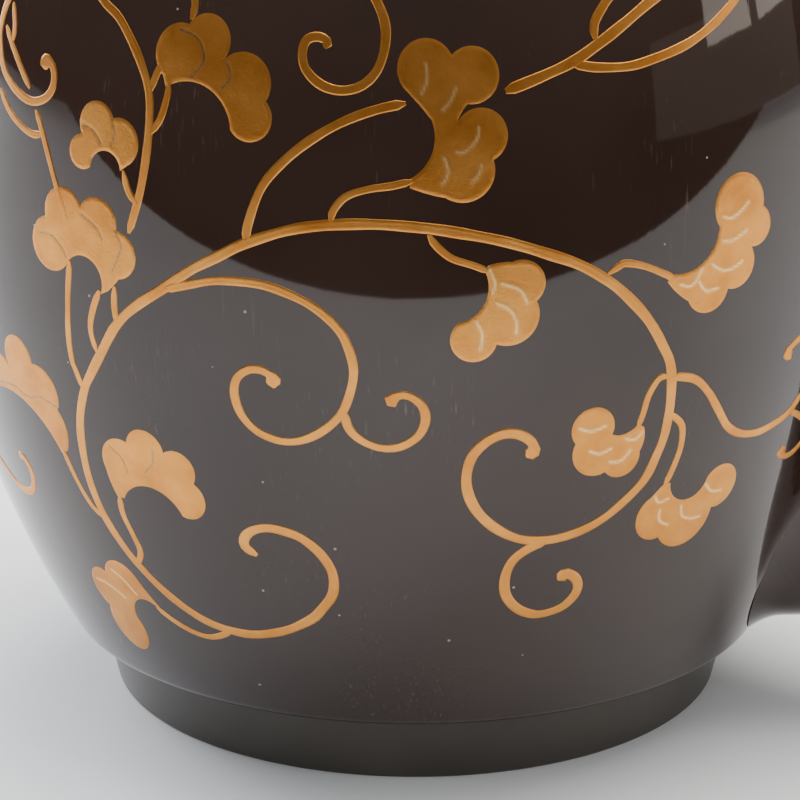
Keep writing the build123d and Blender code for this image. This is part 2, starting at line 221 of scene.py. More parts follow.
def mesh_of(name, points, faces, closed=True, sharp_angle=40.0):
    """Smooth-shaded mesh from points in millimetres; a closed one gets its faces turned outwards."""
    mesh = bpy.data.meshes.new(name)
    mesh.from_pydata((np.asarray(points, float) * mm).tolist(), [], faces)
    work = bmesh.new()
    work.from_mesh(mesh)
    bmesh.ops.remove_doubles(work, verts=work.verts, dist=1e-7)
    if closed:
        bmesh.ops.recalc_face_normals(work, faces=work.faces)
    work.to_mesh(mesh)
    work.free()
    mesh.polygons.foreach_set("use_smooth", np.ones(len(mesh.polygons), bool))
    mesh.set_sharp_from_angle(angle=math.radians(sharp_angle))
    return mesh


def grid_faces(rows, columns, wrap_rows=False, wrap_columns=True, start=0):
    """Quads of a grid stored row by row; a wrapped direction joins its last line to its first."""
    row = np.arange(rows if wrap_rows else rows - 1)
    column = np.arange(columns if wrap_columns else columns - 1)
    r, c = np.meshgrid(row, column, indexing="ij")
    next_r, next_c = (r + 1) % rows, (c + 1) % columns
    quads = np.stack(
        [r * columns + c, r * columns + next_c, next_r * columns + next_c, next_r * columns + c], -1
    )
    return (quads.reshape(-1, 4) + start).tolist()


def arc(centre, radius, start, end, step=2.0):
    """Points (r, z) of an arc between two directions in degrees above level, about `step` mm apart."""
    count = max(3, int(abs(math.radians(end - start)) * radius / step) + 2)
    angle = np.radians(np.linspace(start, end, count))
    return np.stack([centre[0] + radius * np.cos(angle), centre[1] + radius * np.sin(angle)], -1)


def turned_piece(name, profile, closed_loop=True):
    """The profile (r, z) carried round Z. A profile that ends on the axis closes itself."""
    profile = np.asarray(profile, float)
    angle = np.arange(around) / around * 2 * np.pi
    points = np.stack(
        [
            profile[:, None, 0] * np.sin(angle),
            -profile[:, None, 0] * np.cos(angle),
            np.repeat(profile[:, 1:], around, axis=1),
        ],
        -1,
    )
    faces = grid_faces(len(profile), around, wrap_rows=closed_loop)
    return mesh_of(name, points.reshape(-1, 3), faces)


# Black lacquer on the foot: a satin skin, duller and a little brown where it is handled.
foot_lacquer, tree, output = new_material("black_urushi_satin")
coords = node(tree, "ShaderNodeTexCoord")
worn = node(tree, "ShaderNodeTexNoise", links={"Vector": coords.outputs["Object"]}, Scale=60.0, Detail=6.0)
tint = node(tree, "ShaderNodeValToRGB", links={"Fac": worn.outputs["Fac"]})
tint.color_ramp.elements[0].color = linear("#2A2622")
tint.color_ramp.elements[1].color = linear("#423C35")
dull = node(tree, "ShaderNodeMapRange", links={"Value": worn.outputs["Fac"]}, To_Min=0.30, To_Max=0.46)
grain = node(
    tree, "ShaderNodeTexNoise", links={"Vector": coords.outputs["Object"]}, Scale=900.0, Detail=2.0
)
relief = node(
    tree, "ShaderNodeBump", links={"Height": grain.outputs["Fac"]}, Strength=0.08, Distance=0.0002
)
skin = node(
    tree,
    "ShaderNodeBsdfPrincipled",
    links={
        "Base Color": tint.outputs["Color"],
        "Roughness": dull.outputs["Result"],
        "Normal": relief.outputs["Normal"],
    },
    IOR=1.52,
)
tree.links.new(skin.outputs["BSDF"], output.inputs["Surface"])

foot_profile = np.concatenate(
    [
        arc((foot_inner + foot_edge, foot_edge), foot_edge, 180, 270, 0.3),
        arc((foot_radius - foot_edge, foot_edge), foot_edge, 270, 360, 0.3),
        [(foot_top_radius, foot_height), (foot_inner, foot_height)],
    ]
)
link_piece(
    "foot_ring_turned",
    turned_piece("foot_ring_turned", foot_profile),
    foot_lacquer,
    "vessel",
    "foot_lacquer",
    "foot_ring",
)

# ---------------------------------------------------------------------------------------------------------
# Body. Turned wood in two parts glued under the lacquer, so the skin runs unbroken from the base edge over
# the belly and shoulder to the mouth. Many coats of black-brown urushi, polished to a mirror; plain black
# inside.
# ---------------------------------------------------------------------------------------------------------
belly_radius = 95.5
belly_height = 108.0
wall_arc_radius = 188.0
base_arc_radius = 4.5
shoulder_arc_radius = 24.0
body_top = 173.0
wall = 6.0
floor_top = foot_height + 8.0
inner_base_round = 14.0
mouth_radius = 56.0
rim_width = 6.0
base_recess = 47.0

wall_centre_r = belly_radius - wall_arc_radius
base_centre_z = foot_height + base_arc_radius
base_dip = math.asin((belly_height - base_centre_z) / (wall_arc_radius - base_arc_radius))
base_centre_r = wall_centre_r + (wall_arc_radius - base_arc_radius) * math.cos(base_dip)
shoulder_centre_z = body_top - shoulder_arc_radius
shoulder_lift = math.asin((shoulder_centre_z - belly_height) / (wall_arc_radius - shoulder_arc_radius))
shoulder_centre_r = wall_centre_r + (wall_arc_radius - shoulder_arc_radius) * math.cos(shoulder_lift)
shoulder_start_z = shoulder_centre_z + shoulder_arc_radius * math.sin(shoulder_lift)
corner_z = floor_top + inner_base_round
inner_arc = wall_arc_radius - wall
corner_dip = math.asin((belly_height - corner_z) / (inner_arc - inner_base_round))
corner_r = wall_centre_r + (inner_arc - inner_base_round) * math.cos(corner_dip)


def wall_r(z, inset=0.0):
    """Radius of the wall at height z: the long arc, `inset` mm inside its outer surface."""
    return wall_centre_r + np.sqrt((wall_arc_radius - inset) ** 2 - (z - belly_height) ** 2)


belly_centre = (wall_centre_r, belly_height)
shoulder_centre = (shoulder_centre_r, shoulder_centre_z)
lift_degrees = math.degrees(shoulder_lift)
dip_degrees = math.degrees(base_dip)
corner_degrees = math.degrees(corner_dip)
body_profile = np.concatenate(
    [
        [(base_recess, foot_height), (foot_top_radius, foot_height)],
        arc((base_centre_r, base_centre_z), base_arc_radius, -90, -dip_degrees, 0.5),
        arc(belly_centre, wall_arc_radius, -dip_degrees, lift_degrees, 1.6)[1:],
        arc(shoulder_centre, shoulder_arc_radius, lift_degrees, 90, 0.9)[1:],
        [(mouth_radius + rim_width, body_top), (mouth_radius, body_top), (mouth_radius, body_top - wall)],
        arc(shoulder_centre, shoulder_arc_radius - wall, 90, lift_degrees, 1.2),
        arc(belly_centre, inner_arc, lift_degrees, -corner_degrees, 4.0)[1:],
        arc((corner_r, corner_z), inner_base_round, -corner_degrees, -90, 1.5)[1:],
        [(20.0, floor_top), (0.0, floor_top), (0.0, foot_height), (20.0, foot_height)],
    ]
)
port_radius = 13.5
spout_root_z = 40.5
spout_inset = 12.0
spout_headings = (-5.0, 42.0, 74.0, 76.0, 62.0)        # degrees above level, evenly along the spout
port_x = wall_r(spout_root_z) - spout_inset


def bored(mesh, start, heading, radius, length):
    """The mesh less a prism of 64 sides that runs along `heading` degrees above +X from `start`."""
    turn = np.arange(64) / 64 * 2 * np.pi
    lean = math.radians(heading)
    along = np.array([math.cos(lean), 0.0, math.sin(lean)])
    rise = np.array([-math.sin(lean), 0.0, math.cos(lean)])
    circle = radius * (np.cos(turn)[:, None] * np.array([0.0, 1.0, 0.0]) + np.sin(turn)[:, None] * rise)
    points = np.concatenate([circle + start, circle + start + length * along])
    faces = grid_faces(2, 64) + [list(range(64)), list(range(127, 63, -1))]
    cutter = bpy.data.objects.new("cutter", mesh_of("cutter", points, faces))
    blank = bpy.data.objects.new("blank", mesh)
    for one in (cutter, blank):
        bpy.context.scene.collection.objects.link(one)
    hole = blank.modifiers.new("hole", "BOOLEAN")
    hole.object = cutter
    hole.solver = "EXACT"
    bpy.context.view_layer.update()
    cut = bpy.data.meshes.new_from_object(blank.evaluated_get(bpy.context.evaluated_depsgraph_get()))
    for one in (cutter, blank):
        bpy.data.objects.remove(one)
    cut.name = mesh.name
    return cut


body_mesh = bored(
    turned_piece("body_lacquered", body_profile),
    (port_x, 0.0, spout_root_z),
    spout_headings[0],
    port_radius,
    40.0,
)

# Roiro finish: black-brown urushi rubbed to a mirror. Under the gloss the eye finds faint brush and polishing
# lines, hairline scratches, a slight haze from wiping, and specks of dust.
roiro, tree, output = new_material("black_brown_roiro_urushi")
coords = node(tree, "ShaderNodeTexCoord")
tide = node(tree, "ShaderNodeTexNoise", links={"Vector": coords.outputs["Object"]}, Scale=14.0, Detail=4.0)
depth = node(tree, "ShaderNodeValToRGB", links={"Fac": tide.outputs["Fac"]})
depth.color_ramp.elements[0].position = 0.3
depth.color_ramp.elements[0].color = linear("#231814")
depth.color_ramp.elements[1].position = 0.75
depth.color_ramp.elements[1].color = linear("#31231E")
speck_cells = node(tree, "ShaderNodeTexVoronoi", links={"Vector": coords.outputs["Object"]}, Scale=160.0)
speck_size = node(
    tree, "ShaderNodeMath", {"operation": "LESS_THAN"}, {"Value": speck_cells.outputs["Distance"]}
)
speck_size.inputs[1].default_value = 0.042
speck_some = node(tree, "ShaderNodeSeparateColor", links={"Color": speck_cells.outputs["Color"]})
speck_rare = node(
    tree, "ShaderNodeMath", {"operation": "GREATER_THAN"}, {"Value": speck_some.outputs["Red"]}
)
speck_rare.inputs[1].default_value = 0.62
specks = node(tree, "ShaderNodeMath", {"operation": "MULTIPLY"})
tree.links.new(speck_size.outputs[0], specks.inputs[0])
tree.links.new(speck_rare.outputs[0], specks.inputs[1])
dusted = node(
    tree,
    "ShaderNodeMixRGB",
    links={"Fac": specks.outputs[0], "Color1": depth.outputs["Color"]},
    Color2=linear("#8D857B"),
)
across_scratches = node(
    tree,
    "ShaderNodeMapping",
    links={"Vector": coords.outputs["Object"]},
    Rotation=(0.5, 0.65, 0.3),
    Scale=(1900.0, 1900.0, 26.0),
)
scratch_lines = node(
    tree, "ShaderNodeTexNoise", links={"Vector": across_scratches.outputs["Vector"]}, Scale=1.0, Detail=1.0
)
scratch_patch = node(
    tree, "ShaderNodeTexNoise", links={"Vector": coords.outputs["Object"]}, Scale=38.0, Detail=2.0
)
scratch_here = node(
    tree, "ShaderNodeMapRange", links={"Value": scratch_patch.outputs["Fac"]}, From_Min=0.52, From_Max=0.72
)
scratch_thin = node(
    tree, "ShaderNodeMapRange", links={"Value": scratch_lines.outputs["Fac"]}, From_Min=0.66, From_Max=0.80
)
scratched = node(tree, "ShaderNodeMath", {"operation": "MULTIPLY"})
tree.links.new(scratch_here.outputs["Result"], scratched.inputs[0])
tree.links.new(scratch_thin.outputs["Result"], scratched.inputs[1])
scratch_tint = node(
    tree,
    "ShaderNodeMixRGB",
    links={"Fac": scratched.outputs[0], "Color1": dusted.outputs["Color"]},
    Color2=linear("#50463F"),
)
haze = node(tree, "ShaderNodeTexNoise", links={"Vector": coords.outputs["Object"]}, Scale=26.0, Detail=5.0)
gloss = node(tree, "ShaderNodeMapRange", links={"Value": haze.outputs["Fac"]}, To_Min=0.02, To_Max=0.06)
stretch = node(
    tree, "ShaderNodeMapping", links={"Vector": coords.outputs["Object"]}, Scale=(900.0, 900.0, 45.0)
)
brushed = node(
    tree, "ShaderNodeTexNoise", links={"Vector": stretch.outputs["Vector"]}, Scale=1.0, Detail=2.0
)
ripple = node(
    tree, "ShaderNodeTexNoise", links={"Vector": coords.outputs["Object"]}, Scale=70.0, Detail=2.0
)
brush_bump = node(
    tree, "ShaderNodeBump", links={"Height": brushed.outputs["Fac"]}, Strength=0.05, Distance=0.0001
)
ripple_bump = node(
    tree,
    "ShaderNodeBump",
    links={"Height": ripple.outputs["Fac"], "Normal": brush_bump.outputs["Normal"]},
    Strength=0.05,
    Distance=0.0004,
)
skin = node(
    tree,
    "ShaderNodeBsdfPrincipled",
    links={
        "Base Color": scratch_tint.outputs["Color"],
        "Roughness": gloss.outputs["Result"],
        "Normal": ripple_bump.outputs["Normal"],
    },
    IOR=1.47,
)
tree.links.new(skin.outputs["BSDF"], output.inputs["Surface"])

# Plain black urushi inside: brushed on, not polished, so softer in its shine.
inner_lacquer, tree, output = new_material("black_urushi_inside")
coords = node(tree, "ShaderNodeTexCoord")
brushed = node(
    tree, "ShaderNodeTexNoise", links={"Vector": coords.outputs["Object"]}, Scale=120.0, Detail=3.0
)
tint = node(tree, "ShaderNodeValToRGB", links={"Fac": brushed.outputs["Fac"]})
tint.color_ramp.elements[0].color = linear("#120D0C")
tint.color_ramp.elements[1].color = linear("#1D1614")
relief = node(
    tree, "ShaderNodeBump", links={"Height": brushed.outputs["Fac"]}, Strength=0.15, Distance=0.0003
)
skin = node(
    tree,
    "ShaderNodeBsdfPrincipled",
    links={"Base Color": tint.outputs["Color"], "Normal": relief.outputs["Normal"]},
    Roughness=0.24,
    IOR=1.54,
)
tree.links.new(skin.outputs["BSDF"], output.inputs["Surface"])

link_piece(
    "body_lacquered",
    body_mesh,
    [roiro, inner_lacquer],
    "vessel",
    "roiro_lacquer",
    "body_shell",
    "shoulder_ring",
)
middles = np.empty(len(body_mesh.polygons) * 3)
body_mesh.polygons.foreach_get("center", middles)
middles = middles.reshape(-1, 3) / mm
reach = np.hypot(middles[:, 0], middles[:, 1])
inside = (reach < wall_r(np.clip(middles[:, 2], 0, body_top), wall / 2)) & (middles[:, 2] > floor_top - 1) & (
    middles[:, 2] < body_top - 1
)
body_mesh.polygons.foreach_set("material_index", inside.astype(np.int32))

# ---------------------------------------------------------------------------------------------------------
# Mouth rim. A separate hoop of wood bent and glued into a seat in the shoulder, then lacquered with the body.
# A fine line of gold powder runs round its upper outer edge.
# ---------------------------------------------------------------------------------------------------------
rim_top = float(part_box("mouth_rim")[1][2] / mm)
rim_round = 1.0
rim_outer = mouth_radius + rim_width

rim_profile = np.concatenate(
    [
        [(mouth_radius, body_top - 1.9), (rim_outer - 0.05, body_top - 1.9)],
        arc((rim_outer - rim_round - 0.05, rim_top - rim_round), rim_round, 0, 90, 0.25),
        arc((mouth_radius + rim_round, rim_top - rim_round), rim_round, 90, 180, 0.25),
    ]
)
link_piece(
    "mouth_rim_turned",
    turned_piece("mouth_rim_turned", rim_profile),
    roiro,
    "vessel",
    "roiro_lacquer",
    "mouth_rim",
)

# Gold maki-e: fine gold powder sprinkled on wet lacquer, fixed and rubbed down. Soft metal sheen, a little
# sparkle from grains, browner where the lacquer shows through; leaf veins are drawn lighter or cut darker.
gold, tree, output = new_material("gold_powder_maki_e")
coords = node(tree, "ShaderNodeTexCoord")
worn = node(tree, "ShaderNodeTexNoise", links={"Vector": coords.outputs["Object"]}, Scale=150.0, Detail=5.0)
rubbed = node(tree, "ShaderNodeValToRGB", links={"Fac": worn.outputs["Fac"]})
rubbed.color_ramp.elements[0].position = 0.25
rubbed.color_ramp.elements[0].color = linear("#BE7A34")
rubbed.color_ramp.elements[1].position = 0.7
rubbed.color_ramp.elements[1].color = linear("#DA984A")
vein = node(tree, "ShaderNodeAttribute", {"attribute_name": "vein"})
vein_tone = node(
    tree, "ShaderNodeMapRange", links={"Value": vein.outputs["Fac"]}, From_Min=-1.0, From_Max=1.0
)
vein_colour = node(tree, "ShaderNodeValToRGB", links={"Fac": vein_tone.outputs["Result"]})
vein_colour.color_ramp.elements[0].color = linear("#7A4A20")
vein_colour.color_ramp.elements[1].color = linear("#FFD894")
vein_amount = node(tree, "ShaderNodeMath", {"operation": "ABSOLUTE"})
tree.links.new(vein.outputs["Fac"], vein_amount.inputs[0])
drawn = node(
    tree,
    "ShaderNodeMixRGB",
    links={
        "Fac": vein_amount.outputs[0],
        "Color1": rubbed.outputs["Color"],
        "Color2": vein_colour.outputs["Color"],
    },
)
powder = node(
    tree, "ShaderNodeTexNoise", links={"Vector": coords.outputs["Object"]}, Scale=2400.0, Detail=2.0
)
powder_gloss = node(
    tree, "ShaderNodeMapRange", links={"Value": powder.outputs["Fac"]}, To_Min=0.30, To_Max=0.52
)
powder_bump = node(
    tree, "ShaderNodeBump", links={"Height": powder.outputs["Fac"]}, Strength=0.35, Distance=0.0001
)
skin = node(
    tree,
    "ShaderNodeBsdfPrincipled",
    links={
        "Base Color": drawn.outputs["Color"],
        "Roughness": powder_gloss.outputs["Result"],
        "Normal": powder_bump.outputs["Normal"],
    },
    Metallic=1.0,
)
tree.links.new(skin.outputs["BSDF"], output.inputs["Surface"])


def gold_hoop(name, radius, height, width, body):
    """A fine gold line round Z: a flattened bead, `width` tall, standing 0.12 mm out of an upright wall."""
    turn = np.radians(np.arange(0, 360, 45))
    profile = np.stack([radius + 0.12 * np.cos(turn), height + width / 2 * np.sin(turn)], -1)
    link_piece(name, turned_piece(name, profile), gold, body, "gold_maki_e")


gold_hoop("mouth_rim_gold_line", rim_outer - 0.05, rim_top - 1.6, 1.1, "vessel")

# ---------------------------------------------------------------------------------------------------------
# Spout. Two carved halves glued on the handle's plane and lacquered with the body: a swan's neck that leaves
# the wall low down, narrows as it climbs and ends in a thin level lip. A little putty softens its root.
# ---------------------------------------------------------------------------------------------------------
spout_length = 176.0
spout_half_widths = (27.8, 19.5, 13.6, 10.8, 10.2)     # across the handle's plane
spout_half_heights = (23.2, 17.5, 12.8, 10.6, 10.2)    # in the handle's plane
spout_bore_radii = (13.5, 11.5, 9.0, 7.6, 7.6)
spout_lip_z = 173.5
spout_around = 96
root_putty = 1.8
root_reach = 5.0             # how far from the wall the putty begins


def between(values, share):
    """Catmull-Rom curve through evenly spaced values, read at shares 0..1 of the way."""
    values = np.asarray(values, float)
    span = np.clip(share, 0, 1) * (len(values) - 1)
    index = np.minimum(span.astype(int), len(values) - 2)
    t = span - index
    a, b, c, d = (values[np.clip(index + k, 0, len(values) - 1)] for k in (-1, 0, 1, 2))
    return b + 0.5 * t * (c - a + t * (2 * a - 5 * b + 4 * c - d + t * (3 * (b - c) + d - a)))


steps = np.linspace(0, 1, 241)
lean = np.radians(between(spout_headings, steps))
centre_x = port_x + np.concatenate([[0], np.cumsum(np.cos(lean[:-1]))]) * spout_length / 240
centre_z = spout_root_z + np.concatenate([[0], np.cumsum(np.sin(lean[:-1]))]) * spout_length / 240


def on_spout(share, turn, across, upright):
    """Points (mm) of the spout: at a share of its length, an oval of the given half sizes at an angle `turn`;
    turn 0 is +Y, a quarter turn is the upper side. The oval is square to the centreline."""
    x, z, h = (np.interp(share, steps, line) for line in (centre_x, centre_z, lean))
    out, rise = across * np.cos(turn), upright * np.sin(turn)
    return np.stack([x - rise * np.sin(h), out, z + rise * np.cos(h)], -1)


def crossing(surface, share_line, value):
    """For each column, the last share of the way at which the surface's measure is still below `value`."""
    below = surface < value
    last = len(share_line) - 1 - np.argmax(below[::-1], axis=0)
    last = np.clip(last, 0, len(share_line) - 2)
    column = np.arange(surface.shape[1])
    low, high = surface[last, column], surface[last + 1, column]
    part = np.clip((value - low) / np.where(high - low == 0, 1, high - low), 0, 1)
    return share_line[last] + part * (share_line[last + 1] - share_line[last])


turn = np.arange(spout_around) / spout_around * 2 * np.pi
fine = np.linspace(0, 1, 700)
outer = on_spout(
    fine[:, None],
    turn,
    between(spout_half_widths, fine)[:, None],
    between(spout_half_heights, fine)[:, None],
)
bore = on_spout(
    fine[:, None], turn, between(spout_bore_radii, fine)[:, None], between(spout_bore_radii, fine)[:, None]
)


def outside_wall(points, inset):
    """How far points stand out of the wall's surface `inset` mm inside, level."""
    return np.hypot(points[..., 0], points[..., 1]) - wall_r(np.clip(points[..., 2], 14, body_top), inset)


outer_start = crossing(outside_wall(outer, 0.0), fine, -1.2)
bore_start = crossing(outside_wall(bore, wall), fine, 0.05)
lip_end = np.where(outer[-1, :, 2] > spout_lip_z, crossing(outer[..., 2], fine, spout_lip_z), 1.0)
lip_end = np.real(
    np.fft.ifft(np.fft.fft(lip_end) * (np.abs(np.fft.fftfreq(spout_around) * spout_around) <= 3))
)
lip_end = np.minimum(lip_end, 1.0)
lip_round = 0.5 * (spout_half_widths[-1] - spout_bore_radii[-1])
run = np.linspace(0, 1, 110)[:, None] ** 1.3
outer_share = outer_start + run * (lip_end - lip_round / spout_length - outer_start)
across, upright = between(spout_half_widths, outer_share), between(spout_half_heights, outer_share)
clear_of_wall = outside_wall(on_spout(outer_share, turn, across, upright), 0.0)
putty = root_putty * np.clip(1 - clear_of_wall / root_reach, 0, 1.25) ** 2
outer_rows = on_spout(outer_share, turn, across + putty, upright + putty)
lip_turn = np.linspace(0, np.pi, 9)[1:-1, None]
lip_share = lip_end - lip_round / spout_length * (1 - np.sin(lip_turn))
lip_mid = between(spout_bore_radii, lip_share) + lip_round
lip_rows = on_spout(
    lip_share, turn, lip_mid + lip_round * np.cos(lip_turn), lip_mid + lip_round * np.cos(lip_turn)
)
bore_share = bore_start + (1 - np.linspace(0, 1, 60)[:, None]) * (
    lip_end - lip_round / spout_length - bore_start
)
bore_half = between(spout_bore_radii, bore_share) - 0.08
bore_rows = on_spout(bore_share, turn, bore_half, bore_half)
spout_points = np.concatenate([outer_rows, lip_rows, bore_rows])
spout_faces = grid_faces(len(spout_points), spout_around, wrap_rows=True)
spout_mesh = mesh_of("spout_lacquered", spout_points.reshape(-1, 3), spout_faces)
link_piece(
    "spout_lacquered", spout_mesh, roiro, "vessel", "roiro_lacquer", "spout_near_half", "spout_far_half"
)

# ---------------------------------------------------------------------------------------------------------
# Lid. A shallow turned dome with an upright edge, lacquered like the body; a flange under it, plain black,
# drops inside the mouth. A fine gold line follows the edge.
# ---------------------------------------------------------------------------------------------------------
lid_radius = float(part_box("lid_plate")[1][0] / mm)
lid_edge_height = 4.5
lid_dome_rise = 11.0
lid_thickness = 5.0
lid_edge_round = lid_edge_height / 4
lid_flange_radius = 55.6
lid_flange_width = 4.0
lid_groove = 1.5
lid_edge_top = rim_top + lid_edge_height
lid_crown = lid_edge_top + lid_dome_rise
dome_radius = (lid_radius**2 + lid_dome_rise**2) / (2 * lid_dome_rise)
dome_centre_z = lid_crown - dome_radius


def dome_arc(radius, start_r, end_r, step):
    """Points (r, z) on a sphere about the dome's centre between two distances from the axis."""
    reach = np.linspace(start_r, end_r, max(3, int(abs(end_r - start_r) / step)))
    return np.stack([reach, dome_centre_z + np.sqrt(radius**2 - reach**2)], -1)


hollow_r = lid_flange_radius - lid_flange_width
lid_profile = np.concatenate(
    [
        dome_arc(dome_radius, 0.0, lid_radius - lid_edge_round * 1.5, 1.6),
        arc(
            (lid_radius - lid_edge_round, lid_edge_top - lid_edge_round * 0.75), lid_edge_round, 68, 0, 0.2
        ),
        arc((lid_radius - lid_edge_round, rim_top + lid_edge_round), lid_edge_round, 0, -90, 0.2),
        [
            (lid_flange_radius, rim_top),
            (lid_flange_radius, rim_top + lid_groove),
            (hollow_r, rim_top + lid_groove),
        ],
        dome_arc(dome_radius - lid_thickness, hollow_r, 0.0, 3.0),
    ]
)
link_piece(
    "lid_lacquered", turned_piece("lid_lacquered", lid_profile), roiro, "lid", "roiro_lacquer", "lid_plate"
)
gold_hoop("lid_edge_gold_line", lid_radius, rim_top + lid_edge_height / 2, 1.3, "lid")

flange_low, flange_high = np.array(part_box("lid_flange")) / mm
flange_round = lid_flange_width / 5
flange_profile = np.concatenate(
    [
        [(hollow_r, flange_high[2]), (hollow_r, flange_low[2] + flange_round)],
        arc((hollow_r + flange_round, flange_low[2] + flange_round), flange_round, 180, 270, 0.3),
        arc(
            (lid_flange_radius - flange_round - 0.05, flange_low[2] + flange_round),
            flange_round,
            270,
            360,
            0.3,
        ),
        [(lid_flange_radius - 0.05, flange_high[2])],
    ]
)
link_piece(
    "lid_flange_turned",
    turned_piece("lid_flange_turned", flange_profile),
    inner_lacquer,
    "lid",
    "inner_lacquer",
    "lid_flange",
)

# ---------------------------------------------------------------------------------------------------------
# Knob and its rosette. A waisted lacquered knob with a rolled rim, pegged through a gilt copper rosette of
# sixteen petals that covers the joint. The peg under it is bare magnolia wood.
# ---------------------------------------------------------------------------------------------------------
rosette_low, rosette_high = np.array(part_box("knob_rosette")) / mm
knob_low, knob_high = np.array(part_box("lid_knob")) / mm
rosette_radius = float(rosette_high[0])
petals = 16
knob_radius = float(knob_high[0])
knob_foot_radius = 8.8
knob_neck_radius = 6.5
knob_neck_height = 5.5
knob_edge_height = 3.6

# Gilt copper: fire-gilded fittings, bright on the high places, browned in the hollows, faint file marks.
gilt, tree, output = new_material("fire_gilt_copper")
coords = node(tree, "ShaderNodeTexCoord")
wear = node(tree, "ShaderNodeTexNoise", links={"Vector": coords.outputs["Object"]}, Scale=110.0, Detail=6.0)
patina = node(tree, "ShaderNodeValToRGB", links={"Fac": wear.outputs["Fac"]})
patina.color_ramp.elements[0].position = 0.32
patina.color_ramp.elements[0].color = linear("#8A5A2E")
patina.color_ramp.elements[1].position = 0.56
patina.color_ramp.elements[1].color = linear("#D9A85C")
tarnish = node(tree, "ShaderNodeMapRange", links={"Value": wear.outputs["Fac"]}, To_Min=0.46, To_Max=0.22)
filed = node(
    tree, "ShaderNodeMapping", links={"Vector": coords.outputs["Object"]}, Scale=(400.0, 400.0, 2600.0)
)
marks = node(tree, "ShaderNodeTexNoise", links={"Vector": filed.outputs["Vector"]}, Scale=1.0, Detail=2.0)
mark_bump = node(
    tree, "ShaderNodeBump", links={"Height": marks.outputs["Fac"]}, Strength=0.12, Distance=0.0001
)
skin = node(
    tree,
    "ShaderNodeBsdfPrincipled",
    links={
        "Base Color": patina.outputs["Color"],
        "Roughness": tarnish.outputs["Result"],
        "Normal": mark_bump.outputs["Normal"],
    },
    Metallic=1.0,
)
tree.links.new(skin.outputs["BSDF"], output.inputs["Surface"])


def petalled_plate(name, radius, low, high, inner):
    """Round plate cut into petals: the edge swings in by |sin| between petals, each petal is crowned and sinks
    to a groove beside its neighbours; the top closes on a flat of radius `inner`."""
    turn = np.arange(petals * 12) / (petals * 12) * 2 * np.pi
    swing = np.abs(np.sin(turn * petals / 2))
    edge = radius - 1.4 * (1 - swing) ** 2
    share = np.concatenate([np.linspace(0, 0.9, 12), [0.96, 0.99, 1.0]])[:, None]
    reach = inner + share * (edge - inner)
    groove = 0.75 * (1 - swing) ** 3 * np.sin(np.clip(share, 0, 1) * np.pi / 2)
    top = high - groove * (high - low) * 0.8 - (share**6) * (high - low) * 0.45
    rows = [np.stack([reach * np.sin(turn), -reach * np.cos(turn), np.broadcast_to(top, reach.shape)], -1)]
    rows.append(np.stack([edge * np.sin(turn), -edge * np.cos(turn), np.full_like(turn, low)], -1)[None])
    points = np.concatenate(rows)
    count = len(turn)
    faces = grid_faces(len(points), count)
    faces += [list(range(count)), list(range((len(points) - 1) * count, len(points) * count))]
    return mesh_of(name, points.reshape(-1, 3), faces, sharp_angle=55)


rosette_mesh = petalled_plate(
    "knob_rosette_petals", rosette_radius, rosette_low[2], rosette_high[2], knob_foot_radius - 1
)
link_piece("knob_rosette_petals", rosette_mesh, gilt, "lid", "gilt_copper", "knob_rosette")

knob_base = float(knob_low[2])
knob_top = float(knob_high[2])
neck_top = knob_base + knob_neck_height
edge_top = neck_top + knob_edge_height
cap_rise = knob_top - edge_top
cap_sphere = (knob_radius**2 + cap_rise**2) / (2 * cap_rise)
edge_round = knob_edge_height * 0.45
neck_curve = np.linspace(-1, 1, 17)
neck = np.stack(
    [
        knob_neck_radius + (knob_foot_radius - knob_neck_radius) * neck_curve**2,
        knob_base + (neck_curve + 1) / 2 * knob_neck_height,
    ],
    -1,
)
cap_reach = np.linspace(knob_radius - edge_round * 1.2, 0, 20)
knob_profile = np.concatenate(
    [
        [(0.0, knob_base)],
        neck,
        arc((knob_radius - edge_round, neck_top + edge_round), edge_round, -90, 0, 0.3),
        arc((knob_radius - edge_round, edge_top - edge_round * 0.85), edge_round, 0, 62, 0.3),
        np.stack([cap_reach, knob_top - cap_sphere + np.sqrt(cap_sphere**2 - cap_reach**2)], -1),
    ]
)
link_piece(
    "lid_knob_turned",
    turned_piece("lid_knob_turned", knob_profile),
    roiro,
    "lid",
    "roiro_lacquer",
    "lid_knob",
)
gold_hoop("knob_edge_gold_line", knob_radius, neck_top + knob_edge_height / 2 + 0.1, 0.9, "lid")

# Bare magnolia: pale close-grained wood, oiled by handling at its end.
magnolia, tree, output = new_material("bare_magnolia_wood")
coords = node(tree, "ShaderNodeTexCoord")
along = node(
    tree, "ShaderNodeMapping", links={"Vector": coords.outputs["Object"]}, Scale=(700.0, 700.0, 60.0)
)
fibre = node(tree, "ShaderNodeTexNoise", links={"Vector": along.outputs["Vector"]}, Scale=1.0, Detail=4.0)
wood_tone = node(tree, "ShaderNodeValToRGB", links={"Fac": fibre.outputs["Fac"]})
wood_tone.color_ramp.elements[0].color = linear("#8C6A45")
wood_tone.color_ramp.elements[1].color = linear("#C9A87C")
wood_bump = node(
    tree, "ShaderNodeBump", links={"Height": fibre.outputs["Fac"]}, Strength=0.3, Distance=0.0001
)
skin = node(
    tree,
    "ShaderNodeBsdfPrincipled",
    links={"Base Color": wood_tone.outputs["Color"], "Normal": wood_bump.outputs["Normal"]},
    Roughness=0.62,
)
tree.links.new(skin.outputs["BSDF"], output.inputs["Surface"])


def refinish(material, *names):
    """Gives CAD nodes that stay as they are one material in all their slots."""
    for name in names:
        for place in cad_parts[name].material_slots:
            place.material = material


refinish(magnolia, "knob_peg")

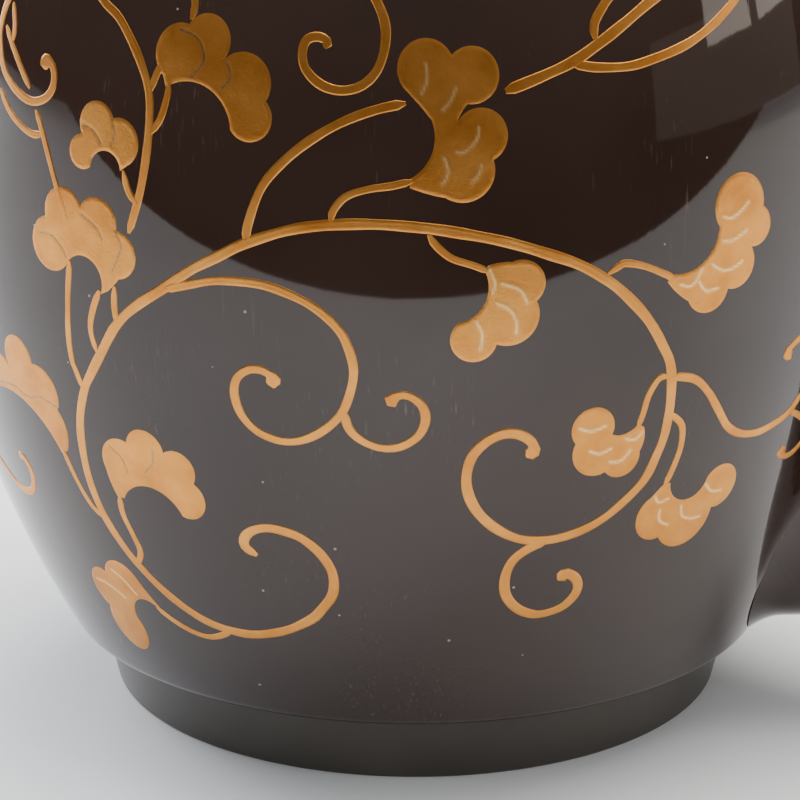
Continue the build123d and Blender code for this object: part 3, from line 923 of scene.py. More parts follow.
# ---------------------------------------------------------------------------------------------------------
# Lugs, washers, hinge pins, ferrules and rivets. Cast and filed copper, fire-gilded: each lug is riveted
# through the shoulder over a washer, and each ferrule's fork turns on a headed pin through the lug's eye.
# ---------------------------------------------------------------------------------------------------------
refinish(
    gilt,
    "lug_front",
    "lug_rear",
    "lug_washer_front",
    "lug_washer_rear",
    "ferrule_front",
    "ferrule_rear",
    "hinge_pin_front",
    "hinge_pin_rear",
    "ferrule_rivets",
)

# ---------------------------------------------------------------------------------------------------------
# Bail. One arch of wood bent to a broad squared hoop and lacquered; its ends sit in the ferrules. The section
# is an upright oblong with rounded edges.
# ---------------------------------------------------------------------------------------------------------
arch_low, arch_high = np.array(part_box("bail_arch")) / mm
bail_depth = float(arch_high[1] - arch_low[1])
bail_thickness = 8.0
bail_edge = 2.5
bail_corner = 46.0
bail_x = float(arch_high[0]) - bail_thickness / 2
bail_grip_z = float(arch_high[2]) - bail_thickness / 2
bail_foot_z = float(arch_low[2])


def bail_line(distance):
    """Centreline (x, z) and its heading at distances along it: up the spout's leg, a quarter circle, the
    grip, a quarter circle and down the other leg. The last value returned is the whole length."""
    leg = bail_grip_z - bail_corner - bail_foot_z
    bend = bail_corner * np.pi / 2
    flat = 2 * (bail_x - bail_corner)
    marks = np.cumsum([0, leg, bend, flat, bend, leg])
    heading = np.interp(distance, marks, [np.pi / 2, np.pi / 2, np.pi, np.pi, 1.5 * np.pi, 1.5 * np.pi])
    up = np.clip(distance, 0, leg) - np.clip(distance - marks[4], 0, leg)
    turned = heading - np.pi / 2
    x = bail_x - bail_corner * (1 - np.cos(turned)) - np.clip(distance - marks[2], 0, flat)
    x = np.where(distance > marks[3], -bail_x + bail_corner * (1 - np.sin(heading - np.pi)), x)
    z = bail_foot_z + up + bail_corner * np.where(heading > np.pi, np.cos(heading - np.pi), np.sin(turned))
    return x, z, heading, marks[-1]


def rounded_oblong(half_out, half_side, corner, steps_each=6):
    """Closed outline (out, side) of an oblong with quarter-circle corners."""
    turn = np.linspace(0, np.pi / 2, steps_each)
    sides = []
    for quarter, (sign_out, sign_side) in enumerate(((1, 1), (-1, 1), (-1, -1), (1, -1))):
        angle = turn + quarter * np.pi / 2
        centre = np.array([sign_out * (half_out - corner), sign_side * (half_side - corner)])
        sides.append(centre + corner * np.stack([np.cos(angle), np.sin(angle)], -1))
    return np.concatenate(sides)


bail_total = bail_line(np.zeros(1))[3]
distance = np.linspace(0, bail_total, 260)
x, z, heading, bail_total = bail_line(distance)
section = rounded_oblong(bail_thickness / 2, bail_depth / 2, bail_edge)
out_x, out_z = np.sin(heading), -np.cos(heading)
bail_points = np.stack(
    [
        x[:, None] + out_x[:, None] * section[:, 0],
        np.broadcast_to(section[:, 1], (len(x), len(section))),
        z[:, None] + out_z[:, None] * section[:, 0],
    ],
    -1,
)
faces = grid_faces(len(x), len(section))
faces += [list(range(len(section))), list(range((len(x) - 1) * len(section), len(x) * len(section)))]
bail_mesh = mesh_of("bail_arch_lacquered", bail_points.reshape(-1, 3), faces)
link_piece("bail_arch_lacquered", bail_mesh, roiro, "bail", "roiro_lacquer", "bail_arch")

# ---------------------------------------------------------------------------------------------------------
# Gold vines. Low-relief maki-e drawn with a brush in lacquer and sprinkled with gold: long scrolling stems
# with curled, round-tipped ends. Places are (azimuth in degrees, height up the wall in mm); the last turns
# climb over the shoulder, where the height runs on along the curve.
# ---------------------------------------------------------------------------------------------------------
stem = 1.95
branch = 1.65
twig = 1.35
tip = 1.45                   # radius of the round drop that ends a curl
brush_step = 0.7


def on_body(flat, lift):
    """Flat drawing (mm round at the belly, mm up) to the body: up the wall's long arc, then over the
    shoulder's short one, `lift` mm proud of the surface."""
    azimuth = flat[..., 0] / belly_radius
    up = flat[..., 1]
    low = up <= shoulder_start_z
    wall_tilt = np.arcsin(np.clip((up - belly_height) / wall_arc_radius, -1, 1))
    tilt = np.where(low, wall_tilt, shoulder_lift + (up - shoulder_start_z) / shoulder_arc_radius)
    radius = np.where(low, wall_arc_radius, shoulder_arc_radius) + lift
    reach = np.where(low, wall_centre_r, shoulder_centre_r) + radius * np.cos(tilt)
    z = np.where(low, belly_height, shoulder_centre_z) + radius * np.sin(tilt)
    return np.stack([reach * np.sin(azimuth), -reach * np.cos(azimuth), z], -1)


def squeeze_on_body(flat):
    """How much narrower the body is at a drawing height than at the belly, where the flat drawing is true."""
    return np.hypot(*np.moveaxis(on_body(flat, 0.0)[..., :2], -1, 0)) / belly_radius


def drawing(points):
    """Given (azimuth, height) points as flat millimetres."""
    flat = np.array(points, float)
    flat[:, 0] *= math.pi / 180 * belly_radius
    return flat


def brush_line(flat):
    """Catmull-Rom curve through the points, evened out to steps of brush_step."""
    share = np.linspace(0, 1, 24 * len(flat))
    curve = np.stack([between(flat[:, 0], share), between(flat[:, 1], share)], -1)
    run = np.concatenate([[0], np.cumsum(np.hypot(*np.diff(curve, axis=0).T))])
    even = np.linspace(0, run[-1], max(4, int(run[-1] / brush_step)))
    return np.stack([np.interp(even, run, curve[:, 0]), np.interp(even, run, curve[:, 1])], -1), even


def brush_stroke(flat, width, drop, place, squeeze):
    """One stroke as (points, faces): a flat-topped ribbon with slightly raised edges, its foot under the
    lacquer. The half width swells at the end to a round drop, sqrt(drop^2 - distance^2), and thins where
    the brush lands."""
    line, run = brush_line(flat)
    narrow = squeeze(line) if squeeze else np.ones(len(line))
    along = np.gradient(line, axis=0) * np.stack([narrow, np.ones(len(line))], -1)
    along /= np.linalg.norm(along, axis=1)[:, None]
    side = np.stack([-along[:, 1] / narrow, along[:, 0]], -1)
    to_end = run[-1] - run
    half = width / 2 * (1 + 0.07 * np.sin(run / 5.3) * np.sin(run / 1.9))
    half = half * np.clip(0.45 + run / 2.5, 0, 1)
    if drop:
        half = np.maximum(
            half * np.clip(to_end / 0.8, 0.25, 1), np.sqrt(np.clip(drop**2 - (to_end - drop) ** 2, 0, None))
        )
    else:
        half = half * np.clip(0.35 + to_end / 2.2, 0, 1)
    across = np.array([-1.0, -0.93, -0.72, -0.3, 0.3, 0.72, 0.93, 1.0, 0.86, -0.86])
    lift = np.array([-0.05, 0.05, 0.11, 0.09, 0.09, 0.11, 0.05, -0.05, -0.18, -0.18])
    spread = line[:, None] + side[:, None] * (half[:, None] * across)[..., None]
    points = place(spread, np.broadcast_to(lift, spread.shape[:2]))
    count = len(across)
    faces = grid_faces(len(line), count)
    last = (len(line) - 1) * count
    faces += [list(range(count)), list(range(last, last + count))]
    return points.reshape(-1, 3), faces


def gathered(name, parts, veins=None):
    """One mesh from many (points, faces) parts; veins, if given, become its `vein` attribute."""
    points, faces, start = [], [], 0
    for part_points, part_faces in parts:
        points.append(part_points)
        faces.extend([[index + start for index in face] for face in part_faces])
        start += len(part_points)
    mesh = bpy.data.meshes.new(name)
    mesh.from_pydata((np.concatenate(points) * mm).tolist(), [], faces)
    if veins is not None:
        mesh.attributes.new("vein", "FLOAT", "POINT").data.foreach_set("value", np.concatenate(veins))
    work = bmesh.new()
    work.from_mesh(mesh)
    bmesh.ops.recalc_face_normals(work, faces=work.faces)
    work.to_mesh(mesh)
    work.free()
    mesh.polygons.foreach_set("use_smooth", np.ones(len(mesh.polygons), bool))
    mesh.set_sharp_from_angle(angle=math.radians(62))
    return mesh


front_strokes = [
    # the great scroll, from its curl low in the middle, round to the left, over the top and down to the right
    (stem, tip, [(-5.8, 53), (-7.2, 54.6), (-7, 56.6), (-5.8, 58.3), (-4, 59.1), (-2, 58.7), (0, 57.5),
                 (2, 54.5), (3.2, 50.5), (3, 46), (1.5, 42.5), (0, 40), (-3, 37.2), (-6, 35.5), (-9, 34.6),
                 (-12, 34.8), (-15, 35.8), (-18, 38), (-21, 41.3), (-24, 46), (-26, 50.5), (-27.5, 55.5),
                 (-28.3, 62), (-28.2, 69), (-27.5, 75), (-26, 81), (-24.8, 84), (-23, 88.3), (-20.4, 94.5),
                 (-17.7, 98.7), (-14, 102.9), (-10.7, 106.8), (-7.5, 109.8), (-4.5, 112.5), (0, 115.2),
                 (3.9, 116.4), (8.8, 116.8), (13.9, 116.2), (18, 115.1), (22.2, 113.5), (26.3, 111.2),
                 (30, 108.7), (33.3, 105.2), (35.6, 101.8), (37.9, 97.5), (39.8, 92.5), (41, 88.3), (
                     41.4, 82
                 ),
                 (41.2, 75.7), (40.5, 71.5), (39.2, 66.5), (36, 61.5), (33.3, 58.8), (30, 57.2), (26.8, 57),
                 (24, 58.2), (21.3, 61.1), (19.4, 64.9), (18.5, 69.5), (18.9, 74.2), (20.3, 77.2), (
                     22.2, 78.8
                 ),
                 (24, 78.6), (25.5, 76.8), (25.6, 75), (24.9, 74.2)]),
    (stem, tip, [(28.2, 56.8), (25.9, 55.3), (24.3, 53), (23.6, 49.5), (23.9, 45.7), (25.4, 42.6), (
        27.5, 40.9
    ),
                 (29.3, 40.8), (31.4, 41.8), (32.7, 43.9), (33, 46), (32.4, 48), (31.2, 49.1), (30.2, 48)]),
    (branch, tip, [(-14, 102.7), (-10.7, 104.3), (-7.5, 105.5), (-3.2, 105.5), (0, 104.1), (2.8, 101.8),
                   (5.1, 98.3), (6.2, 94.5), (6.6, 90.6), (6.1, 86.3), (5.1, 82.6), (3.2, 79.5), (
                       0.9, 77.4
                   ),
                   (-1.4, 76.9), (-3.7, 78), (-5.2, 80), (-6.1, 82.6), (-6.4, 85.7), (-5.9, 88.3), (
                       -4.6, 89.9
                   ),
                   (-3.2, 90), (-2.1, 88.9), (-1.9, 86.9)]),
    (branch, tip * 0.9, [(5.5, 83.5), (5.9, 80.3), (7.2, 78), (9.2, 76.6), (11.3, 76.8), (13.2, 78.8),
                         (14, 81.5), (13.8, 84.2), (12.7, 86.1), (11.5, 86.6), (10.5, 85.7), (10.9, 84.5)]),
    # stems that rise from it to the shoulder
    (branch, 0, [(-4.5, 112.5), (-4.2, 116), (-2.8, 122.2), (-0.5, 126.8), (2.3, 130.6), (5.5, 133.7),
                 (8.8, 135.8), (12, 137)]),
    (stem, tip, [(22.2, 138.7), (26.3, 141), (29.6, 143.1), (32.8, 146), (35.6, 148.7), (39, 152), (
        44, 156
    ),
                 (50, 162), (55, 170), (54, 176), (49, 178), (46, 174), (49, 171)]),
    (twig, 0, [(4.4, 116.8), (4.7, 119), (6, 121.4), (8.3, 122.7), (10.6, 123.3), (12.8, 124.2)]),
    (twig, 0, [(14.3, 115.2), (15, 113.3), (16.6, 111), (18.9, 109.6), (20.6, 108.4)]),
    (twig, 0, [(33, 106.8), (34.2, 107.9), (35, 108.3), (37, 107.5), (39.5, 105.6), (41, 104.2)]),
    (branch, tip, [(41.2, 86), (42.2, 86.1), (44.5, 84.9), (46.5, 81.8), (48.2, 78), (50, 74.2), (52.3, 72),
                   (55.1, 71.2), (57.9, 71.8), (60.2, 73), (62, 75.5), (64, 79), (64, 84), (62.3, 87.3),
                   (60, 87.6), (58.3, 86), (58.8, 84.3)]),
    (
        twig,
        tip,
        [
            (60.5, 73.3),
            (62.5, 71.8),
            (65, 69),
            (65.2, 66),
            (63.8, 64),
            (62, 63.6),
            (60.8, 65),
            (61.5, 65.6),
        ],
    ),
    (twig, 0, [(41, 86.5), (39.7, 86.5), (38.6, 83.8), (38.1, 80.3), (37.6, 77.4)]),
    (twig, 0, [(41.4, 79.5), (41.9, 78.8), (43.3, 76.5), (43.6, 72.6), (43.1, 68.8), (42.2, 64.6)]),
    (branch, tip, [(29.3, 142.8), (30.5, 142.3), (32.3, 141.8), (35.6, 141.6), (38.3, 142.3), (42.6, 144.1),
                   (45.9, 146.4), (49.1, 149.5), (53, 154), (60, 158), (66, 164), (64, 169), (60, 167)]),
    (branch, tip, [(32.1, 146.4), (32.1, 149), (33.3, 151.8), (35.5, 156), (36, 163), (33, 169), (28, 170),
                   (26, 166), (28, 163.5)]),
    (branch, 0.9, [(-9, 168), (-3, 164.5), (3, 162), (7, 157.5), (8.8, 153.7), (9.8, 149.8), (9.8, 146), (
        9, 142.2
    ),
                   (7.4, 139.7), (5.3, 138.9), (3.2, 139.8), (1.6, 142.2), (1.2, 144.8), (1.6, 146.9),
                   (2.8, 147.5), (3.8, 146.8), (3.6, 145.6)]),
    (branch, 0, [(-17, 176), (-23, 171), (-28, 170), (-30, 163), (-27, 156), (-23, 150.6), (-20.4, 147.9), (
        -17.7, 142.5
    ),
                 (-16, 136.8), (-15.7, 131.4), (-16, 125.2), (-16.7, 119), (-18.1, 111.8)]),
    (twig, 0, [(-20.2, 101.8), (-20.4, 98.3), (-20.2, 94.6)]),
    (twig, 0, [(-15.8, 136.4), (-15, 140), (-14.1, 142)]),
    (twig, 0, [(-15.6, 129.4), (-14.4, 132.2), (-13.7, 136), (-13.5, 138.7)]),
    (twig, 0, [(-11.4, 149), (-11.2, 152.5), (-13, 158), (-17, 162)]),
    (twig, 0, [(-17, 117), (-18.1, 119.1), (-18.8, 122.6)]),
    (branch, tip, [(-31, 162), (-34, 157), (-37, 152), (-38.9, 147.5), (-39.6, 142.9), (-39.1, 139), (
        -38, 135.6
    ),
                   (-35.7, 132.9), (-32.9, 131.5), (-30.6, 132.3), (-29.3, 134.5), (-29.2, 137.2),
                   (-30.1, 138.9), (-31.5, 138.2)]),
    (twig, 0, [(-33, 133.6), (-36.5, 139.5), (-38.5, 143.3)]),
    (twig, 0, [(-36.9, 141), (-36.8, 143.5), (-37.7, 147.5)]),
    (twig, 0, [(-26.6, 112), (-28.3, 118.3), (-29.7, 123.7), (-30.8, 127.5), (-31.8, 130.2)]),
    (twig, 0, [(-38.5, 132.2), (-36.6, 129), (-34.3, 126.8), (-32, 125.8), (-30.4, 126.4)]),
    (twig, 0, [(-22.3, 100.5), (-23.4, 96.8), (-24, 92.9), (-23.4, 88.6)]),
    (twig, 0, [(-26.4, 104.8), (-27, 98.3), (-27.5, 90.6), (-27.4, 86), (-27, 84.2), (-26.2, 80.5)]),
    (twig, 0, [(-27.4, 54.2), (-29, 56.1), (-30.1, 58.8), (-31.1, 62.6), (-32, 66.9)]),
    (twig, 0, [(-23.8, 45.6), (-22.7, 48.8), (-23.2, 52.6), (-23.9, 56.5), (-23.7, 60.4)]),
    (twig, 0, [(-11.6, 34.7), (-13.5, 33), (-15.6, 32.1), (-18.1, 32.5), (-20.9, 34.2), (-23.1, 36.4)]),
    (branch, 0.9, [(-66, 50), (-60, 57), (-55, 58), (-50, 54.2), (-47.7, 52.5), (-44.9, 52.2), (
        -42.6, 53.5
    ),
                   (-41.2, 56.1), (-41.1, 58.8), (-42.1, 60.7), (-43.2, 60.3)]),
]


def vine(name, strokes, arrange, body, place=on_body, squeeze=squeeze_on_body):
    """A piece made of brush strokes; `arrange` moves the flat drawing to where the piece goes."""
    parts = [brush_stroke(arrange(points), width, drop, place, squeeze) for width, drop, points in strokes]
    return link_piece(name, gathered(name, parts), gold, body, "gold_maki_e")


def mirrored_behind(points):
    """The front group seen in a mirror and turned half way round."""
    flat = drawing(points)
    return np.array([math.pi * belly_radius, 0.0]) + flat * [-1.0, 1.0]


def under_the_rear_lug(points):
    """The front group mirrored, drawn smaller and centred opposite the spout."""
    flat = drawing(points)
    centre = np.array([6 * math.pi / 180 * belly_radius, 92.0])
    return (flat - centre) * [-0.72, 0.72] + [-92 * math.pi / 180 * belly_radius, 90.0]


wall_strokes = [entry for entry in front_strokes if max(height for _, height in entry[2]) < 128]
wall_strokes = [entry for entry in wall_strokes if -44 < min(angle for angle, _ in entry[2])]
vine("vine_front", front_strokes, drawing, "vessel")
vine("vine_behind", front_strokes, mirrored_behind, "vessel")
vine("vine_under_rear_lug", wall_strokes, under_the_rear_lug, "vessel")

# ---------------------------------------------------------------------------------------------------------
# Gold leaves. Two- and three-lobed leaves filled with powder, their edges a touch raised, with short veins
# drawn over them (proud) or cut into them (dark). An outline lists (azimuth, height, bulge of the edge to the
# next corner: rise over half chord, hollow if negative), clockwise seen from outside.
# ---------------------------------------------------------------------------------------------------------
leaf_grain = 0.42            # spacing of a leaf's inner points, mm
front_leaves = [
    ([
        (-19.2, 122.4, -0.95),
        (-23.2, 122.3, 1.35),
        (-24.5, 127.8, 1.1),
        (-20.3, 131.3, 0.92),
        (-18.3, 123.5, 0),
    ],
     -1, [[(-24.6, 129.4), (-22.8, 128.6), (-21.8, 126.6)], [(-20.6, 131.6), (-20, 129), (-20.4, 126.8)]]),
    ([(-13.8, 137, 0), (-14.3, 139.5, 0.8), (-11.6, 148.3, 1.1), (-7.4, 142.8, 0.92), (-2.5, 136.6, 1.1),
      (-6.3, 131.5, -0.52), (-13.2, 138.2, 0)],
     -1, [[(-12.6, 147.4), (-10.4, 146), (-9.6, 142.6), (-11, 139.6)],
          [(-7, 142.6), (-6.4, 140.4), (-7.4, 138.2)]]),
    ([(-22.2, 99.8, -0.9), (-26.6, 104.6, 1.5), (-29.9, 112, 0.9), (-24.6, 115.2, 0.8), (-19.7, 111.9, 0.9),
      (-19.6, 103.2, 0.05), (-21.2, 100.6, 0)],
     -1, [[(-30.8, 108.7), (-29, 108.7), (-27.4, 106.8), (-26.9, 105.2)], [
         (-24.4, 113.7), (-22.3, 111.8), (-21.6, 109.8)
     ],
          [(-20, 112.2), (-19.1, 109.5), (-19.7, 106.8), (-20.4, 104.5)]]),
    ([(-32.3, 65.8, -0.37), (-44.2, 74.2, 1.0), (-39.9, 80.2, 1.3), (-34.8, 82.5, 0.65), (
        -31.3, 74.6, 0.35
    ),
      (-31.2, 66.5, 0)],
     -1, [[(-43, 75.8), (-39.4, 76.3), (-36.6, 75.3), (-34.3, 76.2), (-31.5, 75.4), (-30.8, 74.1)]]),
    ([(-24, 60, 0.1), (-24.9, 65.5, 0.65), (-21, 72, 0.85), (-16, 71.4, 0.84), (-12.6, 66.1, 0.92),
      (-14.8, 58.9, -0.62), (-23, 60, 0)],
     -1, [[(-23.6, 70.4), (-22, 68.4), (-21.6, 65.6)], [(-17.4, 71.6), (-17.6, 69), (-19, 66.6)]]),
    ([(-22.4, 35.4, -0.73), (-27.9, 31.8, 1.95), (-33.3, 32.5, 0.95), (-31, 41.2, 0.62), (-25, 42, -0.05),
      (-22.4, 36.3, 0)],
     1, [[(-33.6, 38.6), (-31, 38), (-28.6, 36.2)], [(-29.4, 42.4), (-27.6, 40.8), (-26, 38)]]),
    ([(12.5, 124.6, -0.38), (14.6, 134.3, 0), (12.2, 138.8, 1.25), (16.7, 144.8, 1.65), (18.3, 136.8, -0.1),
      (17.2, 133.8, 1.35), (20.9, 127.5, 0.7), (16, 121.3, 0.05), (12.4, 123, 0)],
     1, [[(14, 143.5), (14.2, 141), (13.6, 138.5)], [(17.1, 139.5), (16.6, 137.5), (15.7, 135.8)],
         [(19.4, 133), (19.2, 131), (18, 129), (17.1, 129)], [(15.9, 128), (16.3, 125.6), (15.7, 123.7)],
         [(19.6, 126.7), (19.4, 125.2), (18.7, 124)]]),
    ([(20.3, 109.6, 0.1), (22.8, 110.1, 0.85), (25.4, 103, 0.68), (21.3, 95.6, 1.35), (17.3, 99.6, -0.5),
      (20, 108.6, 0)],
     1, [[(21.7, 106.4), (23.6, 105.2), (24.4, 102.9)], [
         (21.3, 102.9), (22.6, 101.8), (23.3, 99.5), (23.3, 97.5)
     ],
         [(19.2, 99.8), (19.8, 97.5), (19.6, 94.8)], [(20.3, 109.5), (21, 106.8), (20.8, 104.8)]]),
    ([(40.6, 105.3, -0.45), (46.3, 112.5, 1.5), (52.4, 114.7, 0.85), (50.8, 107.8, 0.72), (47.7, 101, 0.75),
      (42.6, 100, 0.1), (39.9, 104.1, 0)],
     1, [[(46.8, 114.1), (47.9, 113.7), (49.3, 114.8), (50.2, 116)], [
         (46.8, 109.8), (48.2, 109.7), (50, 111)
     ],
         [(45.4, 106), (46.8, 104.6), (48.2, 104.6), (49.5, 105.6)], [
             (43.8, 103.3), (44.7, 101.4), (46.3, 101.5)
         ],
         [(41.5, 103.3), (42.6, 102.7), (43.5, 103.7), (44.1, 105.6)]]),
    ([(38.4, 77.5, 0.2), (38.2, 72.8, 0.78), (34.2, 69.6, 0.7), (30.4, 75.8, 1.75), (34.6, 76.9, -0.35),
      (37.6, 78.3, 0)],
     1, [[(30.7, 78.8), (32.1, 78), (33.7, 78.8)], [(32.1, 74.2), (33.3, 73.4), (34.6, 74.2)],
         [(34.6, 71.5), (36, 71.5), (37, 73.4)], [(36.3, 75.7), (37.4, 75.3), (38.2, 76.5)]]),
    ([
        (43, 65.2, -0.9),
        (48.3, 64.6, 1.85),
        (50, 57.8, 0.75),
        (42.8, 53.9, 0.88),
        (40.6, 62.7, 0),
        (42, 65, 0),
    ],
     1, [[(41.2, 63), (41.7, 61.5), (43.1, 62)], [(42.2, 59.9), (42.4, 57.6), (43.8, 56.3)],
         [(45.2, 59.9), (45.6, 57.6), (47.2, 56.5), (48.4, 56.6)],
         [(48.2, 63.4), (49.3, 61.5), (50.9, 61.1)]]),
]


def bulged_outline(corners, bulges):
    """Closed outline: each edge is a circular arc that rises `bulge` half chords from its chord."""
    points = []
    for start, end, bulge in zip(corners, np.roll(corners, -1, axis=0), bulges):
        chord = end - start
        half = np.linalg.norm(chord) / 2
        along = chord / (2 * half)
        out = np.array([-along[1], along[0]])
        if abs(bulge) < 0.01:
            points.append(start[None])
            continue
        radius = half * (1 + bulge**2) / (2 * bulge)
        centre = (start + end) / 2 + out * (bulge * half - radius)
        count = max(4, int(4 * math.atan(abs(bulge)) * abs(radius) / 0.5))
        turn = np.linspace(-1, 1, count, endpoint=False)[:, None] * 2 * math.atan(bulge)
        points.append(centre + radius * (np.cos(turn) * out + np.sin(turn) * along))
    return np.concatenate(points)


def line_distance(points, line, closed):
    """Distance from each point to the nearest place on a run of straight pieces."""
    start = line if closed else line[:-1]
    step = (np.roll(line, -1, axis=0) if closed else line[1:]) - start
    to_point = points[:, None] - start
    share = np.clip((to_point * step).sum(-1) / (step**2).sum(-1), 0, 1)
    return np.linalg.norm(to_point - share[..., None] * step, axis=-1).min(1)


def inside_outline(points, outline):
    """Whether each point lies inside a closed outline: an odd count of crossings to its right."""
    after = np.roll(outline, -1, axis=0)
    above = (outline[:, 1] > points[:, None, 1]) != (after[:, 1] > points[:, None, 1])
    rise = np.where(after[:, 1] == outline[:, 1], 1, after[:, 1] - outline[:, 1])
    cross = outline[:, 0] + (points[:, None, 1] - outline[:, 1]) / rise * (after[:, 0] - outline[:, 0])
    return ((above & (points[:, None, 0] < cross)).sum(1) % 2) == 1


def gold_leaf(outline, sign, veins, place):
    """One leaf as (points, faces, vein strength): the outline filled with triangles and lifted by a smooth
    step of the distance to its edge, plus a rim ridge and the veins; a skirt and a flat underside close it."""
    low, high = outline.min(0), outline.max(0)
    columns, rows = (np.arange(low[k], high[k], leaf_grain) for k in (0, 1))
    grid = np.stack(np.meshgrid(columns, rows), -1).reshape(-1, 2)
    grid = grid[inside_outline(grid, outline)]
    grid = grid[line_distance(grid, outline, True) > 0.22]
    every = np.concatenate([outline, grid])
    ring_edges = [(k, (k + 1) % len(outline)) for k in range(len(outline))]
    made = mathutils.geometry.delaunay_2d_cdt(
        [mathutils.Vector(p) for p in every.tolist()], ring_edges, [], 1, 1e-6
    )
    flat = np.array([tuple(p) for p in made[0]])
    edge_distance = line_distance(flat, outline, True)
    rise = np.clip(edge_distance / 0.45, 0, 1)
    lift = 0.01 + 0.08 * rise**2 * (3 - 2 * rise) + 0.03 * np.exp(-(((edge_distance - 0.45) / 0.22) ** 2))
    near = np.full(len(flat), 9.0)
    for one in veins:
        near = np.minimum(near, line_distance(flat, brush_line(one)[0], False))
    drawn_vein = np.exp(-((near / 0.30) ** 2))
    lift = lift + sign * 0.05 * drawn_vein
    top = place(flat, lift)
    border = [k for k in range(len(flat)) if edge_distance[k] < 1e-4]
    skirt = place(outline, np.full(len(outline), -0.18))
    order = {k: int(np.argmin(np.hypot(*(outline - flat[k]).T))) for k in border}
    back = {ring: k for k, ring in order.items()}
    count = len(outline)
    faces = [list(face) for face in made[2]]
    for k in range(count):
        after = (k + 1) % count
        faces.append([back[k], back[after], len(flat) + after, len(flat) + k])
    faces.append([len(flat) + k for k in range(count)])
    return np.concatenate([top, skirt]), faces, np.concatenate([sign * 0.9 * drawn_vein, np.zeros(count)])


def leaves(name, plan, arrange, body, place=on_body):
    """A piece made of gold leaves; `arrange` moves the flat drawing to where the piece goes."""
    parts, strengths = [], []
    for corners, sign, veins in plan:
        flat = arrange([corner[:2] for corner in corners])
        bulges = [corner[2] for corner in corners]
        travel = np.cross(flat, np.roll(flat, -1, axis=0)).sum()
        outline = bulged_outline(flat, bulges if travel < 0 else [-bulge for bulge in bulges])
        points, faces, strength = gold_leaf(outline, sign, [arrange(one) for one in veins], place)
        parts.append((points, faces))
        strengths.append(strength)
    return link_piece(name, gathered(name, parts, strengths), gold, body, "gold_maki_e")


wall_leaves = [entry for entry in front_leaves if max(corner[1] for corner in entry[0]) < 118]
leaves("leaves_front", front_leaves, drawing, "vessel")
leaves("leaves_behind", front_leaves, mirrored_behind, "vessel")
leaves("leaves_under_rear_lug", wall_leaves, under_the_rear_lug, "vessel")

# ---------------------------------------------------------------------------------------------------------
# Gold on the lid, spout and bail. The same vine in short lengths: three sprays turn round the knob, and a
# slender scroll climbs each side of the spout and runs over the bail's grip.
# ---------------------------------------------------------------------------------------------------------
spray_strokes = [
    (branch, tip, [(22, -16), (28, -8), (30, 2), (27, 13), (35, 20), (45, 19), (52, 12), (53, 4), (48, -2),
                   (42, 0), (41, 6), (45, 8)]),
    (twig, tip, [(29.5, -3), (36, -8), (43, -13), (46, -20), (42, -25), (37, -22), (39, -19)]),
    (twig, 0, [(27, 13), (24, 20), (25, 26)]),
    (twig, 0, [(48.5, 17), (54, 20), (56, 23)]),
]
spray_leaf = [
    ([(25, 26, -0.4), (20, 33, 1.1), (23, 38, 1.1), (28, 37, 1.2), (30, 31, 0.3), (26.4, 26.4, 0)],
     1, [[(22, 36), (24, 34), (24.6, 31)], [(28.5, 36.5), (27.6, 33.5), (26.6, 31)]]),
]


def on_lid(flat, lift):
    """Flat drawing seen from above to the dome: each point straight out along its sphere."""
    up = np.sqrt(dome_radius**2 - flat[..., 0] ** 2 - flat[..., 1] ** 2)
    out = np.stack([flat[..., 0], flat[..., 1], up], -1) / dome_radius
    return out * (dome_radius + np.asarray(lift)[..., None]) + [0, 0, dome_centre_z]


def turned_spray(degrees):
    """Moves the spray's drawing round the knob."""
    angle = math.radians(degrees)
    turn = np.array([[math.cos(angle), math.sin(angle)], [-math.sin(angle), math.cos(angle)]])
    return lambda points: np.array(points, float) @ turn


for number, degrees in enumerate((20, 140, 260), start=1):
    vine(f"lid_vine_{number}", spray_strokes, turned_spray(degrees), "lid", on_lid, None)
    leaves(f"lid_leaf_{number}", spray_leaf, turned_spray(degrees), "lid", on_lid)


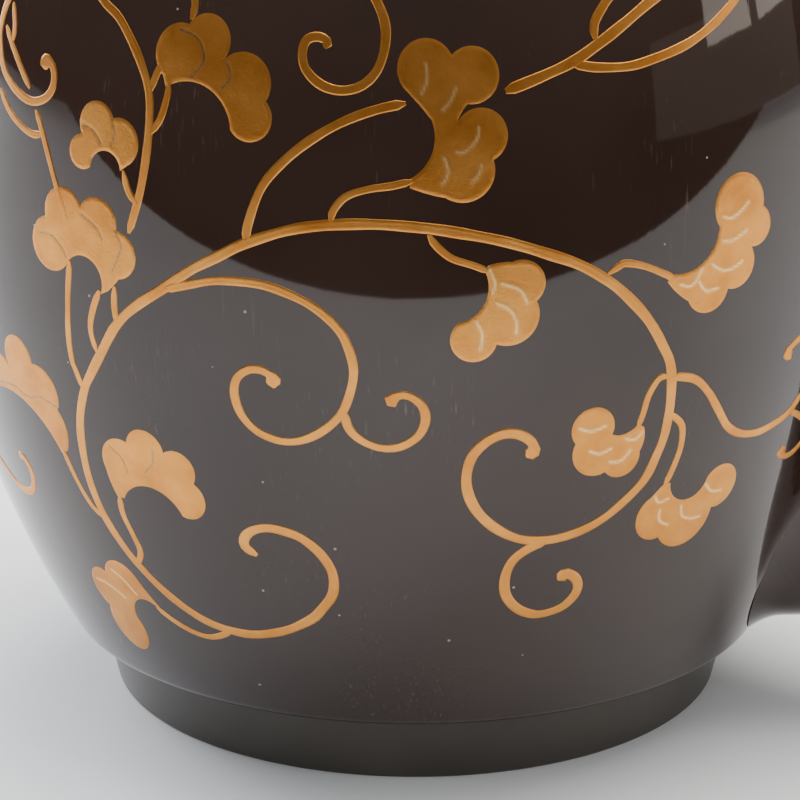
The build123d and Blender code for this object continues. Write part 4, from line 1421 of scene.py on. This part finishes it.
def on_spout_side(side):
    """Drawing of a spout's side: first number mm up from its middle line, second mm along; side +1 is +Y."""

    def place(flat, lift):
        share = flat[..., 1] / spout_length
        across, upright = between(spout_half_widths, share), between(spout_half_heights, share)
        rise = flat[..., 0] / upright
        turn = rise if side > 0 else np.pi - rise
        return on_spout(share, turn, across + lift, upright + lift)

    return place


def as_given(points):
    return np.array(points, float)


spout_strokes = [
    (branch, tip, [(-4, 44), (0, 52), (3, 62), (1, 74), (-3, 84), (-2.5, 96), (1.5, 106), (2.5, 118), (
        -0.5, 128
    ),
                   (-3, 136), (-2, 143), (1.5, 145.5), (3.2, 142), (1.4, 139.5)]),
    (twig, 1.1, [(3, 62), (6, 68), (6.8, 74), (4.6, 77), (2.8, 75.2)]),
    (twig, 1.1, [(-3, 86), (-6, 91), (-6.4, 97), (-4.4, 99.6), (-3, 97.6)]),
    (twig, 1.0, [(2.2, 110), (5, 115), (5.6, 120), (4, 122.6), (2.8, 121)]),
]
for side, word in ((-1, "near"), (1, "far")):
    vine(f"spout_vine_{word}", spout_strokes, as_given, "vessel", on_spout_side(side), None)


def on_bail(flat, lift):
    """Drawing of the bail's outer face: first number mm across, second mm along the centreline."""
    x, z, heading, _ = bail_line(flat[..., 1])
    out = bail_thickness / 2 + np.asarray(lift)
    return np.stack([x + np.sin(heading) * out, flat[..., 0], z - np.cos(heading) * out], -1)


wave = np.linspace(-1.5, 1.5, 49)
bail_middle = float(bail_total) / 2
bail_strokes = [(branch, 0, np.stack([2.7 * np.sin(wave * 2 * np.pi), bail_middle + wave * 42], -1))]
for curl in np.arange(-1.25, 1.5, 0.5):
    lean_side = np.sign(np.sin(curl * 2 * np.pi))
    shape = np.array([(2.7, 0), (0.6, 5), (-1.6, 7.5), (-3.2, 6.6), (-3.0, 4.2), (-1.6, 4.0)])
    bail_strokes.append((twig, 0.9, shape * [lean_side, 1] + [0, bail_middle + curl * 42]))
vine("bail_vine", bail_strokes, as_given, "bail", on_bail, None)
